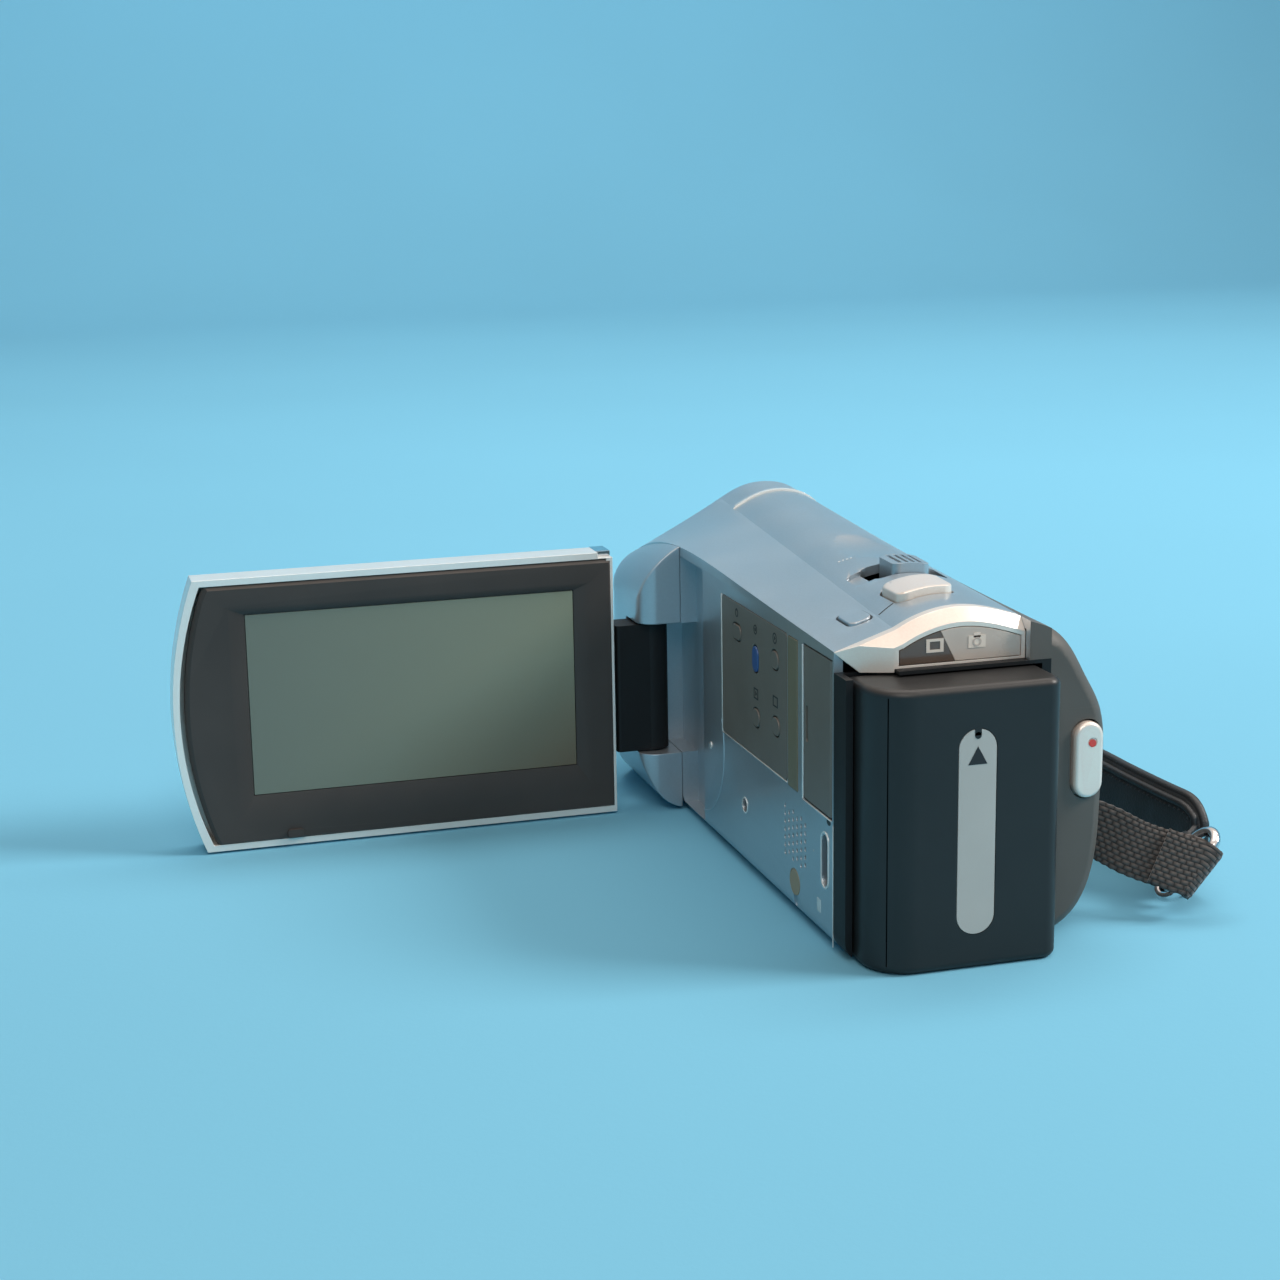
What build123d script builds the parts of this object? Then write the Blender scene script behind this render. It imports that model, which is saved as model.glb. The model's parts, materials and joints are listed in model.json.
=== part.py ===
# A pocket camcorder with its screen swung open.
# Frame: +Y towards the lens, +X towards the hand grip, +Z up, millimetres.
# The origin is the mouth of the tripod socket, in the flat base.
from build123d import *
from math import cos, hypot, radians, sin
import os

os.makedirs("parts", exist_ok=True)

# ---- case ------------------------------------------------------------------------------
side_x = -17.8          # flat left side of the case, behind the folded screen
grip_x = 27.0           # furthest point of the hand grip
front_y = 58.0          # front of the lens surround
nose_y = 46.0           # where the front cabinet meets the shells
lip_y = 36.0            # front edge of the barrel cover
rear_y = -66.2          # rear edge of the case round the battery bay
overhang_y = -64.5      # rear face of the overhang above the battery
battery_h = 45.0        # the battery sets the height of the case
overhang_z = battery_h + 0.9    # underside of the overhang
cap_y = -61.0           # where the rear cap meets the shells
crease_rear_z = overhang_z + 2.4    # upper edge of the left side, at the rear
crease_front_z = overhang_z + 6.7   # and at the nose
crown_rear_z = overhang_z + 8.5     # top of the lens barrel cover, at the rear
crown_front_z = overhang_z + 11.5   # and at the nose
wall = 1.5              # case wall
base_radius = 3.2       # rounded lower edge on the left
corner_depth = 3.2      # rounded rear corner of the grip
grip_seam_z = overhang_z - 8.4      # where the grip meets its shoulder cover

# ---- lens ------------------------------------------------------------------------------
lens_x = 5.0
lens_z = 34.0
lens_r = 11.0           # barrel
lens_rear = -4.0
shutter_half = 9.4      # half the height of the closed lens cover
shutter_t = 0.8

# ---- screen hinge ----------------------------------------------------------------------
hinge_x = -22.2         # upright axis that the screen swings on
hinge_y = 24.2
gap_low = 11.4          # gap between the two hinge shoulders
gap_high = 36.4
shoulder_w = 3.6        # hinge axis to the left face of the shoulders
shoulder_l = 5.6        # and to their rear face
barrel_r = 3.2          # upright barrel of the hinge arm
pin_r = 1.2
pin_seat = 4.0          # length of the pin in each shoulder
pocket_y = 5.0          # rear end of the step beside the shoulders
pocket_depth = 3.1
tilt_r = 1.3            # shaft that the screen turns over on
tilt_head_r = 2.0

# ---- screen panel ----------------------------------------------------------------------
screen_half = 3.8       # half thickness
screen_low = 0.4
screen_high = 50.4
screen_near = 8.0       # hinge axis to the near edge
screen_far = 84.8       # hinge axis to the far corners
screen_bulge = 4.6      # how far the far edge bows out
glass_w = 60.4          # viewing window, 16:9
glass_h = 33.5
glass_near = 15.5       # hinge axis to the near side of the window
glass_low = 10.1
tray_side = 3.0         # sloping surround: sides, top and base
tray_top = 1.4
tray_base = 4.4
tray_depth = 0.9
nub_x = -91.1           # catch that holds the folded screen
nub_z = 2.5
nub_w = 2.8
nub_h = 1.8
bezel_t = 2.0
lid_wall = 1.2

# ---- battery ---------------------------------------------------------------------------
battery_w = 30.7
battery_d = 33.3
battery_left = -16.3
battery_rear = -75.0
battery_step_x = -9.0   # the front half of the battery is narrower
battery_step_y = -62.2
battery_travel = 6.0    # stroke that frees it from the hooks
label_x = 0.1
label_z = 22.0
label_w = 6.2           # pale strip down its back
label_h = 32.6
hook_heights = [9.0, 30.0]

# ---- left side -------------------------------------------------------------------------
panel_front = -6.4      # control panel
panel_rear = -39.9
panel_low = 22.1
panel_high = 46.9
jack_front = -47.9      # jack cover
jack_rear = -60.2
jack_low = 21.6
jack_high = 46.8
speaker_y = -43.6
speaker_z = 13.6
usb_y = -57.3           # upright data socket
usb_z = 13.9
pad_y = -43.4           # latch pad for the closed screen
pad_z = 5.8
reset_y = -18.1
reset_z = 11.6
reset_r = 1.1

# ---- top and rear controls -------------------------------------------------------------
lever_x = 4.7           # zoom lever on the crown
lever_y = -34.5
lever_w = 6.6
lever_l = 7.5
lever_travel = 3.0
notch_x = -1.6          # shallow relief beside it
dish_x = 3.0            # shallow dish in front of it
dish_y = -18.0
dish_r = 60.0
photo_x = 0.8           # photo button behind it
photo_y = -49.2
mode_x = -10.3          # mode button on the left facet
mode_y = -50.4
rec_x = 22.7            # start and stop button on the rear of the grip
rec_z = 29.1

# ---- base ------------------------------------------------------------------------------
socket_r = 3.175        # tripod socket, quarter inch thread
socket_depth = 5.5
base_w = 26.0           # plate let into the base
base_l = 72.0
base_x = 0.0
base_y = -1.0
screw_edge = 6.5        # screws to the ends of the plate
screw_r = 0.9
screw_head_r = 1.6
card_x = 8.0            # memory card cover
card_y = 18.0
card_w = 5.4
card_l = 26.0
cradle_l = 3.1          # rib that carries the lens barrel
latch_x = 3.0           # battery catch
latch_y = -31.0
latch_travel = 2.2

# ---- hand strap ------------------------------------------------------------------------
rear_lug_y = -57.0      # slots in the grip that the webbing comes out of
rear_lug_z = 14.6
front_lug_y = 38.0
front_lug_z = 16.0
web_t = 1.0
web_w = 9.6
strap_x = 46.7          # the loose pad stands this far out
pad_t = 3.2
pad_h = 17.0
ring_x = 43.4           # steel ring between webbing and pad
ring_y = -62.4
ring_z = 8.2
ring_l = 15.0
ring_w = 7.4
ring_wire = 0.9
bar_x = grip_x - 6.6
bar_r = 0.9

# ---- fits ------------------------------------------------------------------------------
slip = 0.3              # clearance between a moving piece and its seat
running = 0.05          # radial clearance of a shaft in its bore
seat = 0.1              # clearance round a fixed insert
flap_r = 0.9            # hinge barrel of the small covers
flap_t = 1.3            # their thickness
flap_pin_r = 0.35
button_travel = 0.5
rec_travel = 0.8
key_travel = 0.3

# ---- sizes that follow -----------------------------------------------------------------
bay_right = battery_left + battery_w + slip
bay_step_x = battery_step_x - slip
battery_front = battery_rear + battery_d
bay_front = battery_front + slip
battery_x = (battery_step_x + battery_left + battery_w) / 2
frame_t = 0.95
frame_left = bay_step_x - frame_t
bay_edge = bay_right + frame_t + 0.6
frame_front = bay_front + 2.0
panel_y = (panel_front + panel_rear) / 2
panel_z = (panel_low + panel_high) / 2
panel_w = panel_front - panel_rear
panel_h = panel_high - panel_low
jack_y = (jack_front + jack_rear) / 2
jack_z = (jack_low + jack_high) / 2
jack_w = jack_front - jack_rear
jack_h = jack_high - jack_low
board_top = overhang_z + 1.0
jack_pin_x = side_x + flap_r
jack_pin_y = jack_rear + flap_r
rib_front = panel_rear - 0.6
rib_rear = jack_front + 3.0
rib_w = rib_front - rib_rear
rib_y = (rib_front + rib_rear) / 2
cap_right = lens_x + 7.6
lamp_left = side_x + 9.4
skirt_x = lamp_left - 0.8
skirt_z = overhang_z - 0.55
lamp_split = lamp_left + 7.2
lamp_right = lens_x + 6.8
screen_z = (screen_low + screen_high) / 2
screen_face = hinge_y - screen_half
screen_back = hinge_y + screen_half
near_x = hinge_x - screen_near
closed_nub_y = hinge_y + nub_x - hinge_x
far_x = hinge_x - screen_far
glass_x = hinge_x - glass_near - glass_w / 2
base_rear = base_y - base_l / 2
base_front = base_y + base_l / 2
screw_front = base_front - screw_edge
base_screws = [(-9.5, base_rear + screw_edge), (-9.5, screw_front), (-1.5, -15), (-1.5, screw_front)]
card_pin_x = card_x + card_w / 2 - flap_r
card_pin_y = card_l / 2 + 1.6

# ---- helpers ---------------------------------------------------------------------------


def block(x0, x1, y0, y1, z0, z1):
    return Pos((x0 + x1) / 2, (y0 + y1) / 2, (z0 + z1) / 2) * Box(x1 - x0, y1 - y0, z1 - z0)


def rod_x(x0, x1, y, z, r):
    return Pos((x0 + x1) / 2, y, z) * Rot(0, 90, 0) * Cylinder(r, x1 - x0)


def rod_y(x, y0, y1, z, r):
    return Pos(x, (y0 + y1) / 2, z) * Rot(90, 0, 0) * Cylinder(r, y1 - y0)


def rod_z(x, y, z0, z1, r):
    return Pos(x, y, (z0 + z1) / 2) * Cylinder(r, z1 - z0)


def tube_y(x, y0, y1, z, outer, inner):
    return rod_y(x, y0, y1, z, outer) - rod_y(x, y0 - 1, y1 + 1, z, inner)


def plate_x(sketch, x0, x1, y, z):
    # a flat shape seen from the left: sketch X runs to the rear, sketch Y runs up
    return extrude(Plane((x1, y, z), x_dir=(0, -1, 0), z_dir=(-1, 0, 0)) * sketch, x1 - x0)


def plate_y(sketch, y0, y1, x, z):
    # a flat shape seen from behind: sketch X runs to the right, sketch Y runs up
    return extrude(Plane((x, y1, z), x_dir=(1, 0, 0), z_dir=(0, -1, 0)) * sketch, y1 - y0)


def plate_z(sketch, z0, z1, x, y):
    return extrude(Plane((x, y, z0), x_dir=(1, 0, 0), z_dir=(0, 0, 1)) * sketch, z1 - z0)


def pill(w, h):
    return RectangleRounded(w, h, min(w, h) / 2 - 0.01)


def prism(points, z0, z1):
    # an upright solid on a plan outline
    base = make_face(Polyline(*[(x, y, z0) for x, y in points], close=True))
    return extrude(base, z1 - z0, dir=(0, 0, 1))


def save(name, *parts):
    solids = [s for p in parts for s in p.solids()]
    export_step(solids[0] if len(solids) == 1 else Compound(solids), f"parts/{name}.step")


# ---- outer form of the case ------------------------------------------------------------


def along(rear, front, y):
    return rear + (front - rear) * (y - rear_y) / (nose_y - rear_y)


def crease_z(y):
    # straight, then dropping towards the nose
    return along(crease_rear_z, crease_front_z, y) - 0.0045 * max(0, y - 7) ** 2


def seam_x(y):
    return along(side_x + 9.2, lens_x - 5.6, y)


def cover_x(y):
    # right edge of the silver barrel cover
    return along(cap_right, lens_x + 11.0, y)


def outline(y):
    # the case section at y, clockwise from the lower left corner as seen from behind
    crown = along(crown_rear_z, crown_front_z, y)
    swell = 0.8 * sin(radians(180 * (y - rear_y) / (nose_y - rear_y)))
    side = grip_x + swell - along(0.8, 2.6, y)
    return [
        (side_x, 0),
        (side_x, crease_z(y)),
        (seam_x(y), crown - 2.9),
        (along(lens_x - 3.6, lens_x + 1.6, y), crown),
        (cover_x(y), crown - along(2.3, 3.4, y)),
        (side - 7.1, grip_seam_z + along(11.4, 10.6, y)),
        (side - 2.7, grip_seam_z + 4.6),
        (side - 0.4, grip_seam_z + 0.2),
        (side + 0.4, grip_seam_z - 13),
        (side - 0.8, base_radius + 7),
        (side - 4.6, base_radius - 0.5),
        (side - 10.5, 0),
    ]


def inset(points, depth):
    out = []
    for i, here in enumerate(points):
        before = points[i - 1]
        after = points[(i + 1) % len(points)]
        normals = []
        for a, b in ((before, here), (here, after)):
            length = hypot(b[0] - a[0], b[1] - a[1])
            normals.append(((b[1] - a[1]) / length, (a[0] - b[0]) / length))
        (ax, az), (bx, bz) = normals
        grow = depth / (1 + ax * bx + az * bz)
        out.append((here[0] + (ax + bx) * grow, here[1] + (az + bz) * grow))
    return out


def section(y, depth=0):
    corner, crease, seam, *rest = [(x, y, z) for x, z in inset(outline(y), depth)]
    r = max(base_radius - depth, 0.5)
    foot = (corner[0], y, corner[2] + r)
    toe = (corner[0] + r, y, corner[2])
    turn = r * (1 - cos(radians(45)))
    rise = (cos(radians(30)), 0, sin(radians(30)))
    edges = [
        Edge.make_line(foot, crease),
        Edge.make_line(crease, seam),
        Edge.make_spline([seam] + rest, tangents=[rise, (-1, 0, 0)], scale=False),
        Edge.make_line(rest[-1], toe),
        Edge.make_three_point_arc(toe, (corner[0] + turn, y, corner[2] + turn), foot),
    ]
    return Face(Wire(edges))


def skin(y0, y1, depth=0):
    return loft([section(y0 + (y1 - y0) * i / 5, depth) for i in range(6)])


rear_corner = loft([
    section(rear_y, 2.4),
    section(rear_y + 1.0, 0.9),
    section(rear_y + corner_depth, 0),
])
hull = skin(rear_y, nose_y)
hull = hull - (block(bay_edge, 60, rear_y - 5, rear_y + corner_depth, -5, 70) - rear_corner)
hollow = skin(rear_y + wall, nose_y + 1, wall)

far = 90
left_zone = prism([(-60, -far), (seam_x(-far), -far), (seam_x(far), far), (-60, far)], -5, 70)
cover_plan = [(seam_x(-far), -far), (cover_x(-far), -far), (cover_x(far), far), (seam_x(far), far)]
cover_zone = prism(cover_plan, grip_seam_z, 70)
nose_zone = block(-60, 60, lip_y, nose_y, grip_seam_z + 6, 70)
above_seam = block(-60, 60, -far, far, grip_seam_z, 70)

shell = hull - hollow
shell = shell - block(frame_left, bay_edge, rear_y - 5, frame_front, -5, overhang_z)
shell = shell - block(-60, bay_edge, rear_y - 5, cap_y, -5, overhang_z)
shell = shell - block(-60, cap_right, rear_y - 5, cap_y, overhang_z, 70)

# ---- outlines shared by a piece and its seat -------------------------------------------


def control_outline(grow=0):
    return RectangleRounded(panel_w + 2 * grow, panel_h + 2 * grow, 0.8)


def base_hole():
    outline = RectangleRounded(base_w + 2 * seat, base_l + 2 * seat, 3)
    return plate_z(outline, -1, wall + 2.5, base_x, base_y)


def photo_outline(grow=0):
    return RectangleRounded(9.6 + 2 * grow, 8.6 + 2 * grow, 2)


def mode_outline(grow=0):
    return RectangleRounded(3.8 + 2 * grow, 6.8 + 2 * grow, 1.6)


def rec_outline(grow=0):
    return pill(5.0 + 2 * grow, 12.4 + 2 * grow)


def lug_slot(y, z):
    half_t = web_t / 2 + slip
    half_w = web_w / 2 + slip
    return block(grip_x - 8, grip_x + 9, y - half_t, y + half_t, z - half_w, z + half_w)


def hinge_step(grow, z0, z1):
    # the step in the side that clears the hinge arm and the folded screen
    x = side_x + pocket_depth + grow
    rear = pocket_y - grow
    front = hinge_y - shoulder_l + grow
    plan = [(side_x - 1, rear), (side_x, rear), (x, rear + 7), (x, front), (side_x - 1, front)]
    gap = block(side_x - 1, x, front - 1, hinge_y + barrel_r + 0.6 + grow, gap_low - grow,
                gap_high + grow)
    return prism(plan, z0, z1) + gap


def speaker_holes():
    holes = []
    for column in range(6):
        rows = 7 if column % 2 else 6
        for row in range(rows):
            y = speaker_y + (column - 2.5) * 1.9
            z = speaker_z + (row - (rows - 1) / 2) * 1.35
            holes.append(rod_x(side_x - 1, side_x + wall + 1, y, z, 0.42))
    return holes


# ---- case shells -----------------------------------------------------------------------


def make_left_cabinet():
    part = shell & left_zone
    part = part + (hinge_step(wall, 0, 60) & hull)
    part = part - hinge_step(0, wall + 0.1, crease_rear_z + 0.8)
    part = part - plate_x(control_outline(seat), side_x - 1, side_x + 0.8, panel_y, panel_z)
    part = part - plate_x(control_outline(-1.5), side_x - 1, side_x + 4, panel_y, panel_z)
    jack_hole = Rectangle(jack_w + 2 * slip, jack_h + 2 * slip)
    part = part - plate_x(jack_hole, side_x - 1, side_x + 4, jack_y, jack_z)
    rib_hole = Rectangle(rib_w + 2 * seat, jack_h + 2 * seat)
    part = part - plate_x(rib_hole, side_x - 1, side_x + 0.7, rib_y, jack_z)
    part = part - plate_x(pill(2.6, 8.4), side_x - 1, side_x + 4, usb_y, usb_z)
    nub_slot = RectangleRounded(nub_w + 1.0, nub_h + 0.4, 0.8)
    part = part - plate_x(nub_slot, side_x - 1, side_x + 0.5, closed_nub_y, nub_z)
    pad_hole = Ellipse(2.4 + seat, 2.2 + seat)
    part = part - plate_x(pad_hole, side_x - 1, side_x + 0.6, pad_y, pad_z)
    part = part - rod_x(side_x - 1, side_x + 4, reset_y, reset_z, reset_r + slip)
    part = part - plate_z(mode_outline(slip), crease_rear_z - 3, 70, mode_x, mode_y)
    for hole in speaker_holes():
        part = part - hole
    part = part - rod_z(jack_pin_x, jack_pin_y, jack_low - 1.6, jack_high + 1.6, flap_pin_r)
    return part - base_hole()


def make_grip_cover():
    part = shell - left_zone - above_seam
    part = part - plate_y(rec_outline(slip), rear_y - 1, rear_y + 4, rec_x, rec_z)
    part = part - lug_slot(rear_lug_y, rear_lug_z) - lug_slot(front_lug_y, front_lug_z)
    return part - base_hole()


def make_grip_shoulder():
    return (shell & above_seam) - left_zone - cover_zone


def make_top_cover():
    part = (shell & cover_zone) - block(-60, 60, -far, far, 30, grip_seam_z + 6) - nose_zone
    travel = lever_w + 2 * (lever_travel + slip)
    slot = RectangleRounded(travel, lever_l + 2 * slip, 1.5)
    part = part - plate_z(slot, crown_rear_z - 4, 70, lever_x, lever_y)
    part = part - plate_z(photo_outline(slip), crown_rear_z - 6, 70, photo_x, photo_y)
    notch = plate_z(RectangleRounded(6, lever_l - 1, 1.2), crown_rear_z - 4, 70, notch_x, lever_y)
    part = part - (notch - skin(lever_y - 12, lever_y + 12, 0.7))
    dish_z = along(crown_rear_z, crown_front_z, dish_y) - 0.7
    return part - Pos(dish_x, dish_y, dish_z + dish_r) * Sphere(dish_r)


def make_bottom_cover():
    plate = plate_z(RectangleRounded(base_w, base_l, 3), 0, wall, base_x, base_y)
    plate = plate - rod_z(0, 0, -1, 3, socket_r + 1.6)
    latch_hole = RectangleRounded(9 + 2 * slip, 4.6 + latch_travel + 2 * slip, 2)
    plate = plate - plate_z(latch_hole, -1, 3, latch_x, latch_y + latch_travel / 2)
    card_hole = Rectangle(card_w + 2 * slip, card_l + 2 * slip)
    plate = plate - plate_z(card_hole, -1, 3, card_x, card_y)
    plate = plate - rod_y(card_pin_x, card_y - card_pin_y, card_y + card_pin_y, flap_r, flap_pin_r)
    rear = card_y + card_l / 2 + 0.9
    front = rear + cradle_l
    cradle = block(lens_x - 7, lens_x + 6, rear, front, wall - 0.1, lens_z - 5)
    plate = plate + cradle - rod_y(lens_x, rear - 1, front + 1, lens_z, lens_r + running)
    for x, y in base_screws:
        plate = plate - rod_z(x, y, -1, 3, screw_r)
        plate = plate - rod_z(x, y, -1, 0.8, screw_head_r + seat)
    return plate


def make_tripod_socket():
    post = rod_z(0, 0, 0, socket_depth + 1.5, socket_r + 1.6 - seat)
    flange = rod_z(0, 0, wall, wall + 1.2, socket_r + 3.4)
    return post + flange - rod_z(0, 0, -1, socket_depth, socket_r)


def make_base_screw(x, y):
    screw = rod_z(x, y, 0.1, 0.8, screw_head_r) + rod_z(x, y, 0.8, 6.0, screw_r)
    cross = block(x - 0.9, x + 0.9, y - 0.2, y + 0.2, 0, 0.5)
    return screw - cross - cross.rotate(Axis((x, y, 0), (0, 0, 1)), 90)


# ---- front cabinet, hinge housing ------------------------------------------------------


def make_front_cabinet():
    outer = loft([
        section(nose_y, 0),
        section(nose_y + 5.5, 1.4),
        section(front_y - 2.5, 3.8),
        section(front_y, 7.4),
    ])
    inner = loft([section(nose_y - 1, wall), section(front_y - 6, 3.4)], ruled=True)
    cone = Pos(lens_x, front_y - 3, lens_z) * Rot(-90, 0, 0) * Cone(shutter_half, 13.5, 6.2)
    part = (outer & block(side_x, 60, 0, far, -5, 70)) - inner - cone
    for offset in (-7.0, 7.0):
        for row in range(3):
            slot = pill(8, 1.1)
            z = 11.0 + row * 2.4
            part = part - plate_y(slot, front_y - 8, front_y + 1, lens_x + offset - 1.5, z)
    return part + (shell & cover_zone & nose_zone) - lens_trim(seat)


def lens_trim(grow=0.0):
    return tube_y(lens_x, front_y - 1.5 - grow, front_y + 1.0, lens_z, 14.4 + grow, 13.2 - grow)


def shoulder_section(y):
    # section of the block that carries the screen hinge, from its lower inner corner
    left = hinge_x - shoulder_w
    top = crease_z(y)
    low = Edge.make_spline([(side_x, y, 0.6), (side_x - 3.4, y, 2.2), (side_x - 6.2, y, 6.2),
                            (left, y, 13.0)], tangents=[(-1, 0, 0.12), (0, 0, 1)], scale=False)
    up = Edge.make_line((left, y, 13.0), (left, y, top - 12.5))
    high = Edge.make_spline([(left, y, top - 12.5), (left + 1.4, y, top - 6.0),
                             (side_x - 3.4, y, top - 2.2), (side_x, y, top)],
                            tangents=[(0, 0, 1), (1, 0, 0.5)], scale=False)
    back = Edge.make_line((side_x, y, top), (side_x, y, 0.6))
    return Face(Wire([low, up, high, back]))


def shoulder_plan():
    left = hinge_x - shoulder_w
    rear = hinge_y - shoulder_l
    turn = shoulder_w * (1 - cos(radians(45)))
    round_end = (left + shoulder_w, rear, -2)
    round_start = (left, rear + shoulder_w, -2)
    edges = [
        Edge.make_line(round_start, (left, nose_y - 12, -2)),
        Edge.make_three_point_arc((left, nose_y - 12, -2), (left + 3.4, nose_y - 1, -2),
                                  (side_x, nose_y + 4, -2)),
        Edge.make_line((side_x, nose_y + 4, -2), (side_x, rear, -2)),
        Edge.make_line((side_x, rear, -2), round_end),
        Edge.make_three_point_arc(round_end, (left + turn, rear + turn, -2), round_start),
    ]
    return extrude(Face(Wire(edges)), 62, dir=(0, 0, 1))


def make_hinge_housing():
    rear = hinge_y - shoulder_l
    body = loft([shoulder_section(rear - 1), shoulder_section(nose_y - 12),
                 shoulder_section(nose_y + 5)])
    body = body & shoulder_plan() & block(-60, side_x, -far, far, -2, 60)
    room = hinge_y + barrel_r + 3
    body = body - block(hinge_x - shoulder_w + wall, side_x - 0.8, room, nose_y - 9, gap_low,
                        gap_high)
    body = body - block(-60, side_x + 5, -far, hinge_y + barrel_r + 0.6, gap_low, gap_high)
    return body - rod_z(hinge_x, hinge_y, gap_low - pin_seat, gap_high + pin_seat, pin_r)


def make_hinge_pin():
    return rod_z(hinge_x, hinge_y, gap_low - pin_seat, gap_high + pin_seat, pin_r)


def make_hinge_arm():
    low = gap_low + 0.3
    high = gap_high - 0.3
    body = block(near_x + 0.5, hinge_x, hinge_y - 3.0, hinge_y + 3.0, low, high)
    body = fillet(body.edges().filter_by(Axis.Z).group_by(Axis.X)[0], 0.8)
    body = body + rod_z(hinge_x, hinge_y, low, high, barrel_r)
    body = body - rod_z(hinge_x, hinge_y, low - 1, high + 1, pin_r + running)
    return body - rod_x(near_x - 1, hinge_x - 2.6, hinge_y, screen_z, tilt_r)


def make_tilt_shaft():
    shaft = rod_x(near_x - 6.0, hinge_x - 2.6, hinge_y, screen_z, tilt_r)
    return shaft + rod_x(near_x - 6.0, near_x - 5.2, hinge_y, screen_z, tilt_head_r)


# ---- screen panel ----------------------------------------------------------------------


def screen_outline(side=0.0, edge=0.0, bow=0.0):
    # the panel seen from behind; each value draws that edge in
    low = screen_low + edge - screen_z
    high = screen_high - edge - screen_z
    left = far_x + bow
    right = near_x - side
    bulge = (far_x - screen_bulge + bow, 0)
    return make_face([
        Line((left, high), (right, high)),
        Line((right, high), (right, low)),
        Line((right, low), (left, low)),
        ThreePointArc((left, low), bulge, (left, high)),
    ])


def shaft_hole():
    hole = rod_x(near_x - 2.5, near_x + 1, hinge_y, screen_z, tilt_r + slip)
    return hole + rod_x(near_x - 6.3, near_x - 4.9, hinge_y, screen_z, tilt_head_r + slip)


def make_lcd_lid():
    lid = plate_y(screen_outline(), screen_face + bezel_t, screen_back, 0, screen_z)
    lid = fillet(lid.edges().group_by(Axis.Y)[-1], 1.6)
    room = screen_outline(lid_wall, lid_wall, lid_wall)
    lid = lid - plate_y(room, screen_face, screen_back - lid_wall, 0, screen_z)
    trim = block(near_x - 2.8, near_x + 1, screen_face, screen_back - 0.6,
                 screen_high - 1.0, screen_high + 1)
    return lid - trim - shaft_hole()


def make_end_trim():
    return block(near_x - 2.8, near_x, screen_face + bezel_t, screen_back - 0.6,
                 screen_high - 1.0, screen_high)


def tray_face(y, w, low, high, x):
    return Plane((x, y, (low + high) / 2), x_dir=(1, 0, 0), z_dir=(0, -1, 0)) * Rectangle(w, high - low)


def make_lcd_bezel():
    bezel = plate_y(screen_outline(0.0, 0.35, 1.2), screen_face, screen_face + bezel_t, 0, screen_z)
    bezel = chamfer(bezel.edges().group_by(Axis.Y)[0], 0.8)
    low = glass_low - tray_base
    high = glass_low + glass_h + tray_top
    tray = loft([
        tray_face(screen_face - 0.01, glass_w + 2 * tray_side, low, high, glass_x),
        tray_face(screen_face + tray_depth, glass_w, glass_low, glass_low + glass_h, glass_x),
    ], ruled=True)
    window = block(glass_x - glass_w / 2, glass_x + glass_w / 2, screen_face, screen_back,
                   glass_low, glass_low + glass_h)
    nub = plate_y(RectangleRounded(nub_w, nub_h, 0.5), screen_face - 0.6, screen_face + 0.1, nub_x, nub_z)
    return bezel + nub - tray - window - shaft_hole()


def make_lcd_glass():
    half = glass_w / 2 - seat
    top = glass_low + glass_h - seat
    front = screen_face + tray_depth + 0.05
    return block(glass_x - half, glass_x + half, front, front + 0.9, glass_low + seat, top)


def make_lcd_display():
    front = screen_face + bezel_t
    return block(glass_x - glass_w / 2 - 1, glass_x + glass_w / 2 + 1, front, front + 2.2,
                 glass_low - 1, glass_low + glass_h + 1)


def make_tilt_bearing():
    front = screen_face + bezel_t
    box = block(near_x - 4.9, near_x - lid_wall, front, screen_back - lid_wall,
                screen_z - 6, screen_z + 6)
    return box - rod_x(near_x - 8, near_x, hinge_y, screen_z, tilt_r + running)


# ---- battery ---------------------------------------------------------------------------


def hook(z, grow=0.0, rise=0.0):
    # a headed lug on the bay wall that the battery slides up onto
    neck = block(battery_x - 3.5 - grow, battery_x + 3.5 + grow, battery_front - 1.6 - grow,
                 bay_front, z - grow, z + 3 + grow + rise)
    head = block(battery_x - 4.7 - grow, battery_x + 4.7 + grow, battery_front - 2.6 - grow,
                 battery_front - 1.6 + grow, z - grow, z + 3 + grow + rise)
    return neck + head


def battery_space(grow=0.0):
    # the room a battery takes up: wide outside the case, narrower inside it
    right = battery_left + battery_w + grow
    low = -5 if grow else 0
    wide = block(battery_left - grow, right, battery_rear - grow, battery_step_y + grow,
                 low, battery_h + grow)
    return wide + block(battery_step_x - grow, right, battery_step_y - 1, battery_front + grow,
                        low, battery_h + grow)


def make_battery_bay():
    frame = block(-60, bay_edge, rear_y - 1, cap_y, -5, overhang_z)
    frame = frame + block(frame_left, bay_edge, cap_y - 1, frame_front, -5, overhang_z)
    frame = (frame & hull) - battery_space(slip)
    for z in hook_heights:
        frame = frame + hook(z)
    for x in contact_xs:
        frame = frame + block(x - 0.4, x + 0.4, bay_front - 2.2, bay_front + 0.1, 21.5, 24.5)
    stop = rear_y + wall + 1.4 + rec_travel + slip
    frame = frame + block(bay_edge - 0.1, rec_x + 0.6, stop, stop + 1.0, rec_z - 7, rec_z + 7)
    frame = frame - block(-60, skirt_x + seat, rear_y - 1, cap_y, skirt_z - seat, 60)
    return frame - block(latch_x - 2.5, latch_x + 2.5, bay_front - 1, frame_front + 1, 1.3, 3.9)


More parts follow.
